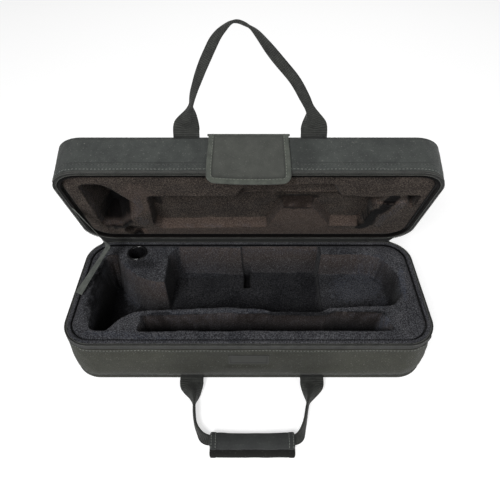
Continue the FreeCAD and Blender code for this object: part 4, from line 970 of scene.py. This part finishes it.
# The same lists for the lid: painted shade, painted highlight, painted light, groove shade.
plush_bed("lid_plush_bed", 104.0, 155.4,
          [(LID_FLARE, 44.0, 18.0, 0.35), (LID_MAIN, 18.0, 4.5, 0.14), (LID_SHALLOW, 8.0, 6.0, 0.1),
           (LID_POCKET, 26.0, 4.0, 0.97), (LID_SHELF, 4.0, 3.0, 0.12),
           (LID_NOTCH, 16.0, 3.0, 0.97)],
          [(CUP_X, CUP_Y, 20.0, 12.0, 3.0, 0.8)],
          [(-214, -18, 20, 44, 0, 1.0), (-228, 44, 28, 30, 0, 1.0), (-150, -8, 8, 30, 0, 0.75),
           (80, -9, 38, 9, 0, 0.78), (50, -10, 8, 14, 0, 0.5)]
          + trail([(196, 68), (208, 56), (205, 36), (207, 16), (219, 4), (222, -10), (230, -28)],
                  10, 1.0),
          [(-182, -4, 9, 40, 14, 0.5), (-249, -5, 8, 52, 4, 0.2), (-182, 44, 10, 18, 0, 0.4)]
          + trail([(226, 60), (226, 30), (238, 12), (246, -16)], 7, 0.45),
          [(90, 36, 62, 50, 0, 0.85), (10, 86, 250, 16, 0, 0.75), (-172, -30, 30, 46, 0, 0.65)],
          (0.97, 1.4), LID_PLUSH, "lid", "lid_foam_insert")


# ---------- holder cup and label ----------
def stacked(name, rows, material, over, thread=None, shade=None):
    """A closed form on the base through loops of points, one over the other."""
    sides = len(rows[0])
    values = {} if shade is None else {"shade": np.repeat(np.array(shade)[:, None], sides, 1)}
    build(name, rows, tube_faces(len(rows), sides), material, "base", over, None, thread,
          values=values)


cup_profile = [(15.4, 53.5), (15.8, 54.2), (15.8, 94.6), (17.6, 94.9), (18.0, 95.5),
               (17.9, 96.3), (17.2, 96.9), (16.2, 97.1), (15.3, 96.9), (14.7, 96.3),
               (14.5, 95.4), (14.5, 80.0), (14.5, 56.2), (13.6, 55.1), (9.0, 55.0)]
cup_rows = [[(CUP_X + r * math.cos(a), CUP_Y + r * math.sin(a), z) for a in circle(64)]
            for r, z in cup_profile]
stacked("holder_ring", cup_rows, PLASTIC, "holder_cup",
        cloth_map(circle(64)[None] * 15, lengths(cup_profile)[:, None]))


def rounded_rectangle(half_x, half_z, radius):
    out = []
    for x, z, start in ((1, 1, 0), (-1, 1, 90), (-1, -1, 180), (1, -1, 270)):
        for a in np.radians(start + np.linspace(0, 90, 7)):
            out.append((x * (half_x - radius) + radius * math.cos(a),
                        z * (half_z - radius) + radius * math.sin(a)))
    return out


# (growth of the outline, how far it stands out from the wall, shade): a frame round a field. The
# shade is painted shade in the grooves at its foot and inside the frame; on the field it gives the
# field's own darker, textured tone.
label_steps = [(0.0, -0.1, 1), (0.0, 0.7, 1), (-0.25, 1.05, 0.4), (-0.7, 1.2, 0), (-1.7, 1.2, 0),
               (-2.2, 1.05, 0.5), (-2.5, 0.75, 1), (-3.2, 0.7, 0.7), (-6.0, 0.75, 0.35),
               (-10.0, 0.78, 0.35)]
stacked("front_label_patch",
        [[(x, -HALF_Y - out, LABEL_Z + z) for x, z in rounded_rectangle(
            LABEL_HALF[0] + grow, LABEL_HALF[2] + grow, max(2.2 + grow, 0.6))]
         for grow, out, _ in label_steps],
        LABEL, "front_label", shade=[dark for _, _, dark in label_steps])

# ---------- front flap ----------
FLAP_HALF, FLAP_LONG, FLAP_ROUND = box("flap_binding")[1][0], 79.5, 12.0
FLAP_TOP = np.array([0, -117.7, 162.0])     # the middle of its upper edge, on the shut lid


def flap_place(points):
    """From the flat flap (X across, Y up, Z out) to its place on the open lid."""
    return lid_place(points @ rotation_x(math.pi / 2).T + FLAP_TOP)


def flap_edge(inset):
    """The flap's free edge: down the left, along the bottom, up the right, drawn in."""
    half, low, r = FLAP_HALF - inset, -FLAP_LONG + inset, max(FLAP_ROUND - inset, 1.0)
    points = [(-half, y) for y in np.linspace(0, low + r, 30)]
    points += [(-half + r + r * math.cos(a), low + r + r * math.sin(a))
               for a in np.radians(np.linspace(180, 270, 13))[1:]]
    points += [(x, low) for x in np.linspace(-half + r, half - r, 42)[1:21]]
    return np.array(points + [(-x, y) for x, y in reversed(points)])


def flap_warp(points):
    """The flap's soft bend away from the lid, its curved foot and its narrower top."""
    x, y = points[..., 0], points[..., 1]
    drop = smooth(-y / 80)
    lift = 0.5 * drop * np.cos(x / 42) + 0.25 * ripple(points[..., :2], 60, 81)
    return points + np.stack([-0.034 * x * (1 - smooth(-y / 55)),
                              -(3.0 * (1 - (x / 60) ** 2) + 0.012 * x) * drop,
                              lift * smooth(-y / 20)], -1)


edge = flap_edge(0.0)
edge_out = unit(edge - flap_edge(8.0))
binding_section = [(0.0, 1.35), (-1.2, 1.95), (-3.2, 2.1), (-5.4, 2.0), (-6.4, 1.75), (-7.2, 1.7),
                   (-8.0, 1.3), (-8.0, -1.3), (-7.0, -1.7), (-3.2, -1.8), (-1.2, -1.65),
                   (0.0, -1.1), (0.25, 0.1)]
rows = np.array([np.column_stack([edge + edge_out * a, b + 0.08 * ripple(edge, 9, 83)])
                 for a, b in binding_section])
binding = (np.transpose(flap_warp(rows), (1, 0, 2)), tube_faces(len(edge), len(binding_section)),
           cloth_map(lengths(edge)[:, None], lengths(binding_section)[None]))
# the rolled seam along the top of the flap
roll_x = np.linspace(-FLAP_HALF, FLAP_HALF, 60)
roll = ([[(x, 1.72 * math.sin(a) - 0.1, 1.72 * math.cos(a)) for a in circle(14)] for x in roll_x],
        tube_faces(60, 14), cloth_map(roll_x[:, None], circle(14)[None] * 1.8))
points, faces, thread = join([binding, roll])
build("flap_binding_tape", points, faces, BINDING, "front_flap", "flap_binding",
      flap_place, thread)

# face and lining as one closed, lightly padded panel inside the binding
PANEL_INSET = 7.2
top_x = np.linspace(FLAP_HALF - PANEL_INSET, -FLAP_HALF + PANEL_INSET, 42)[1:-1]
closed = np.concatenate([flap_edge(PANEL_INSET), [(x, 0.0) for x in top_x]])
middle = np.stack([np.clip(closed[:, 0], -30, 30), np.full(len(closed), -36.0)], 1)


def panel_layers(z_edge, z_middle, sag):
    """One face of the panel, from its edge to its middle."""
    layers = []
    for t in np.arange(13) / 12:
        xy, rise = closed * (1 - t) + middle * t, smooth(t * 4.5)
        waves = (0.18 * ripple(xy, 30, 85) + 0.1 * ripple(xy, 13, 87)) * rise * sag
        layers.append(np.column_stack([xy, z_edge * (1 - rise) + z_middle * rise + waves]))
    return layers


rows = flap_warp(np.array(panel_layers(-1.2, -1.75, 0.3)[::-1] + panel_layers(1.15, 2.15, 1)))
# painted shade in the groove where the panel meets the binding
groove = np.array([0] * 11 + [0.3, 0.6, 0.6, 0.3] + [0] * 11)
piece = build("flap_panel", rows, grid_faces(len(rows), len(closed), wrap_columns=True), FLAP,
              "front_flap", "flap_face flap_lining", flap_place, rows[..., :2],
              weld=0.02, values={"shade": np.repeat(groove[:, None], len(closed), 1)})

# stitching along the binding's inner edge, on both faces
seam = resample(flap_edge(6.6), 4.9)
along = np.column_stack([unit(np.gradient(seam, axis=0)), np.zeros(len(seam))])
points, faces, thread = join([
    stitches(flap_warp(np.column_stack([seam, np.full(len(seam), z)])), along,
             np.cross((0, 0, up), along), (0, 0, up))
    for z, up in ((1.86, 1), (-1.84, -1))])
build("flap_stitches", points, faces, THREAD_FLAP, "front_flap", "", flap_place, thread)

# the root strip that the flap hangs from, sewn on the lid
rows = []
for x in 0.964 * roll_x:
    high = 162.9 + 0.1 * math.sin(x / 7.0) + 0.08 * math.sin(x / 3.1 + 1)
    rows.append([(x, y, z) for y, z in (
        (-115.6, 161.4), (-115.6, 162.3), (-114.6, high), (-112.0, 163.0), (-110.4, 162.6),
        (-109.6, 162.6), (-107.6, 163.0), (-104.4, high), (-103.6, 162.3), (-103.6, 161.4),
        (-104.6, 161.1), (-110.0, 161.2), (-114.6, 161.1))])
rows = np.array(rows)
build("flap_root_tape", rows, tube_faces(*rows.shape[:2]), BINDING, "lid",
      "flap_root_strip", lid_place, rows[..., :2])
x = np.arange(-FLAP_HALF + 3, FLAP_HALF - 2, 3.6)
points, faces, thread = join([
    stitches(np.stack(np.broadcast_arrays(x, y, z), 1), (1, 0.03, 0), (0, 1, 0), (0, 0, 1),
             2.7, 0.6, 0.3)
    for y, z in ((-110.0, 162.55), (-105.6, 162.95))])
build("flap_root_stitches", points, faces, THREAD_FLAP, "lid", "", lid_place, thread)

# ---------- webbing handles ----------
SPREAD, AXIS_Y = 93.0, 7.26             # half the span of a handle, its hinge above the seam
NECK_Y = AXIS_Y + 27.0                  # where the webbing starts to narrow to its ridge
FLAT_WIDE, FOLDED_WIDE = 38.0, 30.0     # the webbing at the seam and where it is folded
HALVES = 30                             # points across the webbing, on each face
SEAM_Y = -114.1                         # the corded seams along the front
LID_HANDLE_TURN, BASE_HANDLE_TURN = np.radians((138, 182.67))


def fold_section(fold, width, thickness=1.7):
    """Webbing seen end on, both halves folded back from a ridge, by a fold from 0 to 1."""
    q = np.linspace(0, width, HALVES)
    bend = 4.4 * fold + 32 * (1 - fold)
    angle = fold * math.pi / 2 * (2 * smooth((q - width / 2 + bend / 2) / bend) - 1)
    middle = (angle[:-1] + angle[1:]) / 2
    steps = q[1] * np.stack([np.cos(middle), -np.sin(middle)], 1)
    line = np.concatenate([np.zeros((1, 2)), np.cumsum(steps, 0)])
    line -= (line.min(0) + line.max(0)) / 2
    tangent = unit(np.gradient(line, axis=0))
    normal = np.stack([-tangent[:, 1], tangent[:, 0]], 1)
    half = thickness / 2 * np.minimum(1, 0.55 + np.minimum(q, width - q) / 1.2)[:, None]
    return np.concatenate([line + normal * half, (line - normal * half)[::-1]])


def handle_line(anchors, necks, loop, reach):
    """The handle's middle line from seam to seam, in (x, y) of its own plane."""
    middle = [(x, AXIS_Y + y * reach) for x, y in loop]
    points = [np.array([x * SPREAD, y]) for x, y in [(necks[0], NECK_Y), *middle,
                                                     (necks[1], NECK_Y)]]
    path = [points[0]]
    for before, here, after in zip(points[:-2], points[1:-1], points[2:]):
        path += round_bend(before, here, after, 0.4)
    path.append(points[-1])
    ends = [[np.array([x * SPREAD, y]) for y in (-0.6, AXIS_Y + 6.0)] for x in anchors]
    return soften(resample(ends[0] + path + ends[1][::-1], 1.8), 6)


def averaged(values, reach):
    """A running mean over reach neighbours on each side."""
    window = 2 * reach + 1
    return np.convolve(np.pad(values, reach, mode="edge"), np.ones(window) / window, "valid")


def webbing(name, anchors, necks, loop, reach, place, over, seed, ridge, turns):
    """A handle: flat webbing out of the seam, folded back to a ridge at each pinch, then turned.
    turns lists (share of the length, degrees that the ridge leans into the loop)."""
    line = handle_line(anchors, necks, loop, reach)
    along = lengths(line)
    from_seam = np.minimum(along, along[-1] - along)
    from_end = from_seam - AXIS_Y
    fold = averaged(np.arccos(1 - np.clip((from_end - 9) / 31, 0, 1) ** 1.3) / (math.pi / 2), 2)
    width = FLAT_WIDE - (FLAT_WIDE - FOLDED_WIDE) * smooth((from_end - 8) / 30)
    free = smooth((from_end - 20) / 30)
    centres = np.column_stack([line, 0.5 * ripple_along(along, 60, seed) * free])
    tangent = unit(np.gradient(line, axis=0))
    flat_side = np.column_stack([tangent[:, 1], -tangent[:, 0], np.zeros(len(line))])
    flat_up = np.tile([0.0, 0.0, float(ridge)], (len(line), 1))
    lean = np.radians(np.interp(along / along[-1], *zip(*turns)))
    lean = averaged(lean + 0.08 * ripple_along(along, 45, seed + 1) * free, 8)[:, None]
    side = flat_side * np.cos(lean) - flat_up * np.sin(lean)
    up = flat_up * np.cos(lean) + flat_side * np.sin(lean)
    sections = [fold_section(f, w) for f, w in zip(fold, width)]
    points, faces, thread = sweep(centres, side, up, sections)
    points = place(points.reshape(-1, 3))
    points[:, 2] = np.maximum(points[:, 2], 0.3)
    across = np.arange(2 * HALVES) % HALVES
    selvedge = np.minimum(across, HALVES - 1 - across) < 2
    # painted shade along the folded selvedges and where the webbing runs into the seam
    shade = np.maximum(0.5 * (selvedge[None] & (fold[:, None] > 0.5)),
                       0.55 * (1 - smooth((from_seam[:, None] - 1) / 6)))
    piece = build(name, points, faces, WEBBING, None, over, None, thread,
                  values={"shade": shade})
    start, end = place(np.array([[0.0, 5.0, 0.0], [0.0, 2 * AXIS_Y - 5.0, 0.0]])) * MM
    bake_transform(piece)


def lid_handle_place(points):
    return lid_place(points @ rotation_x(LID_HANDLE_TURN).T + [0, SEAM_Y, LID_CORD])


def base_handle_place(points):
    return points @ rotation_x(BASE_HANDLE_TURN).T + [0, SEAM_Y, BASE_CORD]


webbing("lid_handle_strap", (-0.968, 1.016), (-0.892, 0.946),
        [(-0.849, 0.338), (-0.688, 0.601), (-0.462, 0.865), (-0.204, 1.000),
         (0.065, 0.926), (0.376, 0.703), (0.710, 0.480), (0.903, 0.270)], 148.0,
        lid_handle_place, "lid_handle_webbing lid_handle_tabs", 91, 1,
        [(0, 0), (0.10, 0), (0.17, 38), (0.26, 66), (0.38, 58), (0.45, 6), (0.50, -24), (0.55, 26),
         (0.66, 72), (0.82, 78), (0.88, 60), (0.92, 10), (1, 0)])
webbing("base_handle_strap", (-0.995, 1.102), (-0.930, 1.038),
        [(-0.914, 0.527), (-0.871, 0.771), (-0.720, 1.000), (0.817, 1.000),
         (0.925, 0.730), (0.978, 0.487)], 98.6,
        base_handle_place, "base_handle_webbing base_handle_tabs", 95, -1,
        [(0, 0), (0.10, 2), (0.25, 8), (0.29, 30), (0.31, 66), (0.33, 86), (0.68, 86), (0.70, 66),
         (0.72, 30), (0.76, 8), (0.90, 2), (1, 0)])

# ---------- grip of the base handle ----------
GRIP_LOW, GRIP_HIGH = (corner[0] for corner in box("grip_back_pad"))
GRIP_LONG = GRIP_HIGH - GRIP_LOW
GRIP_END = 2.8                          # how far its rounded ends run
TAPE_FRONT, TAPE_BACK = -232.9, -227.6


def dense(loop):
    """A closed outline as a close row of points, its corners softened."""
    out = resample(list(loop) + [loop[0]], 0.9)[:-1]
    for _ in range(2):
        out = (np.roll(out, 1, 0) + 2 * out + np.roll(out, -1, 0)) / 4
    return out


def grip_form(outline, drawn_in, seed, amount):
    """A soft bar along X from a closed (y, z) outline, its ends drawn in and its skin uneven."""
    loop = dense(outline)
    end = np.array([0, 0.5, 1.4, GRIP_END])
    x = np.concatenate([end, np.linspace(4.5, GRIP_LONG - 4.5, 90), GRIP_LONG - end[::-1]])
    centre = (loop.min(0) + loop.max(0)) / 2
    rows = []
    for value in x:
        near = min(value, GRIP_LONG - value)
        short = 1 - min(near, GRIP_END) / GRIP_END
        draw = 1 - drawn_in * (1 - math.sqrt(max(0, 1 - short ** 2)))
        points = centre + (loop - centre) * draw
        place = np.column_stack([np.full(len(points), value), points * 2.0])
        move = (0.35 * (1 - smooth((near - 9.4) / 0.9)) * smooth(near / 2.0)
                - 0.45 * math.exp(-((near - 10.3) / 1.0) ** 2)
                + amount * ripple(place, 22, seed) * smooth((near - 10) / 8))
        rows.append(np.column_stack([np.full(len(points), GRIP_LOW + value),
                                     points + unit(points - centre) * move[:, None]]))
    return (np.array(rows), tube_faces(len(x), len(loop)),
            cloth_map(x[:, None], lengths(loop)[None]))


def hollow(p):
    """How far the grip's inner edge curves in."""
    return (2.2 * np.sin(np.pi * (p[..., 0] - GRIP_LOW) / GRIP_LONG)
            * smooth((p[..., 1] + 226) / 16))


def tape_strip(name, low, high, body, over, seed):
    """Hook or loop tape, its face rough with short pile."""
    x, y = np.meshgrid(np.linspace(GRIP_LOW + 4, GRIP_HIGH - 4, 110),
                       np.linspace(TAPE_FRONT, TAPE_BACK, 8), indexing="ij")
    pile = 0.12 * ripple(np.stack([x, y], -1), 1.6, seed, 18)
    upper = np.stack([x, y, high - 0.16 + pile], -1)
    lower = np.stack([x, y, np.full(x.shape, low + 0.05)], -1)
    rows = np.concatenate([upper, lower[:, ::-1]], 1)
    build(name, rows, tube_faces(*rows.shape[:2]), HOOK, body, over)


points, faces, thread = grip_form(
    [(-243.2, 0.6), (-242.4, 0.15), (-236, 0.1), (-226, 0.12), (-214, 0.12), (-210.2, 0.3),
     (-209.5, 1.4), (-209.5, 8.2), (-209.8, 9.1), (-211.4, 9.1), (-212.0, 8.4), (-212.1, 5.0),
     (-212.6, 3.6), (-214.5, 3.15), (-224, 3.1), (-227.4, 3.0), (-233, 3.05), (-238, 3.5),
     (-241.6, 3.1), (-243.2, 2.2)], 0.25, 101, 0.1)
points[..., 2] = np.maximum(points[..., 2], 0.02)
piece = build("grip_pad", points, faces, GRIP_UNDER, "base_handle", "grip_back_pad",
              None, thread)
points, faces, thread = grip_form(
    [(-233.2, 5.9), (-232.9, 5.2), (-228.2, 5.15), (-227.5, 5.8), (-227.4, 8.4), (-226.4, 9.4),
     (-220, 9.5), (-211.4, 9.4), (-209.4, 9.8), (-208.8, 11.0), (-209.6, 12.5), (-212.5, 13.5),
     (-218, 14.3), (-224, 14.2), (-229, 13.2), (-232.2, 11.2), (-233.5, 8.6)], 0.3, 103, 0.14)
points[..., 1] -= hollow(points)
piece = build("grip_cover", points, faces, GRIP, "grip_flap", "grip_flap", None,
              thread)

arc = resample([(-212.4, 13.4), (-214.5, 13.9), (-220, 14.3), (-225, 14.0), (-229, 13.1),
                (-231.6, 11.4)], 4.2)
along = np.column_stack([np.zeros(len(arc)), unit(np.gradient(arc, axis=0))])
up = np.column_stack([np.zeros(len(arc)), along[:, 2], -along[:, 1]])
parts = []
for x in (GRIP_LOW + 2.4, GRIP_LOW + 8.6, GRIP_HIGH - 8.6, GRIP_HIGH - 2.4):
    origins = np.column_stack([np.full(len(arc), x), arc])
    origins[:, 1] -= hollow(origins)
    parts.append(stitches(origins + up * 0.35, along, np.cross(up, along), up, 3.0, 0.8, 0.5))
points, faces, thread = join(parts)
build("grip_stitches", points, faces, THREAD, "grip_flap", "", None, thread)
tape_strip("grip_loop_strip", 3.15, 4.0, "base_handle", "grip_loop_tape", 111)
tape_strip("grip_hook_strip", 4.3, 5.15, "grip_flap", "grip_hook_tape", 113)

# ---------- stay strap, spine cloth and zip webs ----------
STAY_HALF = 7.0
STAY_BASE = np.array([-282.0, -14.0, 98.55])
STAY_FOLD = np.array([-242.0, 66.0, 130.55])
STAY_LID = lid_place(np.array([-282.0, -14.0, 98.05]))


def stay():
    """The ribbon from rim to rim, folded inwards at its middle and turned on edge there."""
    corners = [STAY_BASE, STAY_BASE + (STAY_FOLD - STAY_BASE) * 0.85, STAY_FOLD,
               STAY_FOLD + (STAY_LID - STAY_FOLD) * 0.12, STAY_LID]
    line = soften(resample(corners, 1.5), 10)
    way = unit(np.gradient(line, axis=0))
    at_base = np.array([0.894, -0.447, 0.0])
    at_lid = rotation_x(-LID_ANGLE) @ at_base
    at_fold = unit(np.cross(unit(STAY_FOLD - STAY_BASE), unit(STAY_LID - STAY_FOLD)))
    at_fold = at_fold * np.sign(at_fold @ at_base)
    t, fold = np.linspace(0, 1, len(line))[:, None], 0.47
    side = np.where(t < fold, at_base * (1 - t / fold) + at_fold * (t / fold),
                    at_fold * (1 - (t - fold) / (1 - fold)) + at_lid * ((t - fold) / (1 - fold)))
    side = unit(side - way * (side * way).sum(1, keepdims=True))
    up = np.cross(way, side)
    lean = np.radians(np.interp(t, (0, 0.12, 0.4, 0.5, 0.62, 1), (-4, -9, -11, 0, -30, -36)))
    lean = soften(lean, 12)
    side, up = side * np.cos(lean) + up * np.sin(lean), up * np.cos(lean) - side * np.sin(lean)
    a = np.linspace(-1, 1, 11)
    face = np.stack([STAY_HALF * a, 0.35 * (a * a - 0.5)], 1)
    curl = np.concatenate([np.ones_like(t), np.sin(np.pi * t)], 1)[:, None]
    sections = np.concatenate([face * curl + [0, 0.45], face[::-1] * curl - [0, 0.45]], 1)
    return sweep(line, side, up, sections)


points, faces, thread = stay()
piece = build("stay_ribbon", points, faces, RIBBON, None, "stay_strap", None,
              thread)
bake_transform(piece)

# The spine's cloth runs up the base's back, over the hinge line and on along the lid
SPINE_ARM = 17
x = np.linspace(-SPINE_HALF, SPINE_HALF, 226)
arm = np.linspace(0, 1, 13)[:, None]
down = np.array([0.0, 0.0, -1.0])
lid_up = unit(lid_place(HINGE + [0, 0, SPINE_ARM]) - HINGE)
base_arm = HINGE + np.array([0, 0.55, 0]) + down * SPINE_ARM * arm[::-1]
lid_out = 0.55 * np.array([0, math.cos(LID_ANGLE), -math.sin(LID_ANGLE)])
lid_arm = HINGE + lid_out + lid_up * SPINE_ARM * arm[1:]
spine_line = soften(np.concatenate([base_arm, lid_arm])[:, 1:], 3)
way = unit(np.gradient(spine_line, axis=0))
facing = np.stack([way[:, 1], -way[:, 0]], 1)
rows = []
for offset, order in ((0.45, range(len(spine_line))), (-0.45, range(len(spine_line))[::-1])):
    for k in order:
        edge = min(k, len(spine_line) - 1 - k)
        hem = 0.35 if 1 <= edge <= 4 and offset > 0 else 0.0
        wave = 0.1 * np.sin(x / 9.0 + k) if edge > 4 else 0 * x
        lift = (offset + hem + wave)[:, None]
        rows.append(np.column_stack([x, spine_line[k] + facing[k] * lift]))
columns = np.transpose(rows, (1, 0, 2))
count = len(rows)
# painted shade on the cloth's inner face
inner_shade = np.broadcast_to(0.9 * (np.arange(count)[None] >= count // 2), (len(x), count))
piece = build("spine_strip", columns, tube_faces(len(x), count), SPINE, None,
              "hinge_spine_cloth", None, cloth_map(x[:, None], (np.arange(count) * 1.4)[None]),
              values={"shade": inner_shade})
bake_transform(piece)


def zip_web(name, side, end):
    """The zip's tape webs the rims together round a back corner, from the spine to its end."""
    t = np.linspace(0, 1, 11)
    rows = []
    for offset, order in ((0.4, t), (-0.4, t[::-1])):
        for k in order:
            s = np.linspace(SPINE_HALF - 6, end - 9 * math.sin(math.pi * k), 36)
            inset = 1.7 - 0.3 * np.clip((end - s) / 10, 0, 1)
            low, high = ring(s, inset, 96.6), lid_place(ring(s, inset, 100.0))
            inward = -outward(s) - [0, 0, 0.2]
            depth = math.sin(math.pi * k) * 0.16 * np.linalg.norm(high - low, axis=1) - offset
            rows.append(low * (1 - k) + high * k + inward * depth[:, None])
    columns = np.transpose(np.array(rows) * [side, 1, 1], (1, 0, 2))
    piece = build(name, columns, tube_faces(*columns.shape[:2]), TAPE_DARK, None, "",
                  None, cloth_map(s[:, None], (np.arange(len(rows)) * 1.3)[None]))
    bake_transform(piece)


zip_web("zip_web_left", 1, 277)
zip_web("zip_web_right", -1, 268)

# ---------- floor, light and camera ----------
floor_mesh = bpy.data.meshes.new("floor")
floor_mesh.from_pydata([(x, y, -0.0004) for x, y in ((-6, -6), (6, -6), (6, 6), (-6, 6))], [],
                       [(0, 1, 2, 3)])
floor = bpy.data.objects.new("floor", floor_mesh)
bpy.context.scene.collection.objects.link(floor)
floor_mesh.materials.append(bpy.data.materials.new("pale_floor"))
paint = Nodes(floor_mesh.materials[0])
paint.tree.nodes.clear()
rays = paint.node("ShaderNodeLightPath", {}).outputs
seen = paint.math("MAXIMUM", rays["Is Camera Ray"], rays["Is Glossy Ray"])
seen = paint.math("MAXIMUM", seen, rays["Is Transmission Ray"])
diffuse = paint.node("ShaderNodeBsdfDiffuse", {})
diffuse.inputs["Color"].default_value = (0.55, 0.55, 0.55, 1)
glow = paint.node("ShaderNodeEmission", {"Color": (255, 255, 255),
                                         "Strength": paint.math("MULTIPLY", seen, 0.62)})
both = paint.node("ShaderNodeAddShader", {0: diffuse.outputs[0], 1: glow.outputs[0]})
paint.node("ShaderNodeOutputMaterial", {"Surface": both.outputs[0]})

world = bpy.data.worlds.new("studio")
bpy.context.scene.world = world
sky = Nodes(world)
sky.tree.nodes.clear()
soft, plain = (sky.node("ShaderNodeBackground", {"Color": (255, 255, 255), "Strength": strength})
               for strength in (0.22, 1.0))
seen = sky.node("ShaderNodeLightPath", {}).outputs["Is Camera Ray"]
mixed = sky.node("ShaderNodeMixShader", {0: seen, 1: soft.outputs[0], 2: plain.outputs[0]})
sky.node("ShaderNodeOutputWorld", {"Surface": mixed.outputs[0]})


def lamp(name, place, target, size, power):
    data = bpy.data.lights.new(name, "AREA")
    data.shape = "RECTANGLE"
    data.size, data.size_y = size
    data.energy = power
    light = bpy.data.objects.new(name, data)
    bpy.context.scene.collection.objects.link(light)
    light.location = place
    light.rotation_mode = "QUATERNION"
    light.rotation_quaternion = (Vector(target) - Vector(place)).to_track_quat("-Z", "Y")


lamp("key", (-0.8, -1.75, 1.95), (0, 0, 0.12), (0.9, 0.8), 56)
lamp("fill", (1.5, -1.6, 1.3), (0, 0, 0.12), (1.2, 1.0), 14)
lamp("back", (0.3, 1.7, 1.9), (0, 0.1, 0.15), (1.8, 0.9), 12)

# The camera that fits the photographed corners of base and lid
camera_data = bpy.data.cameras.new("camera")
camera_data.lens = 33.94
camera_data.sensor_width = 36
camera_data.clip_start, camera_data.clip_end = 0.01, 50
camera = bpy.data.objects.new("camera", camera_data)
bpy.context.scene.collection.objects.link(camera)
camera.location = (0.00205, -0.51347, 0.70289)
camera.rotation_euler = (math.radians(44.856), 0, 0)
bpy.context.scene.camera = camera
bpy.context.scene.view_settings.view_transform = "Standard"

bpy.context.view_layer.update()
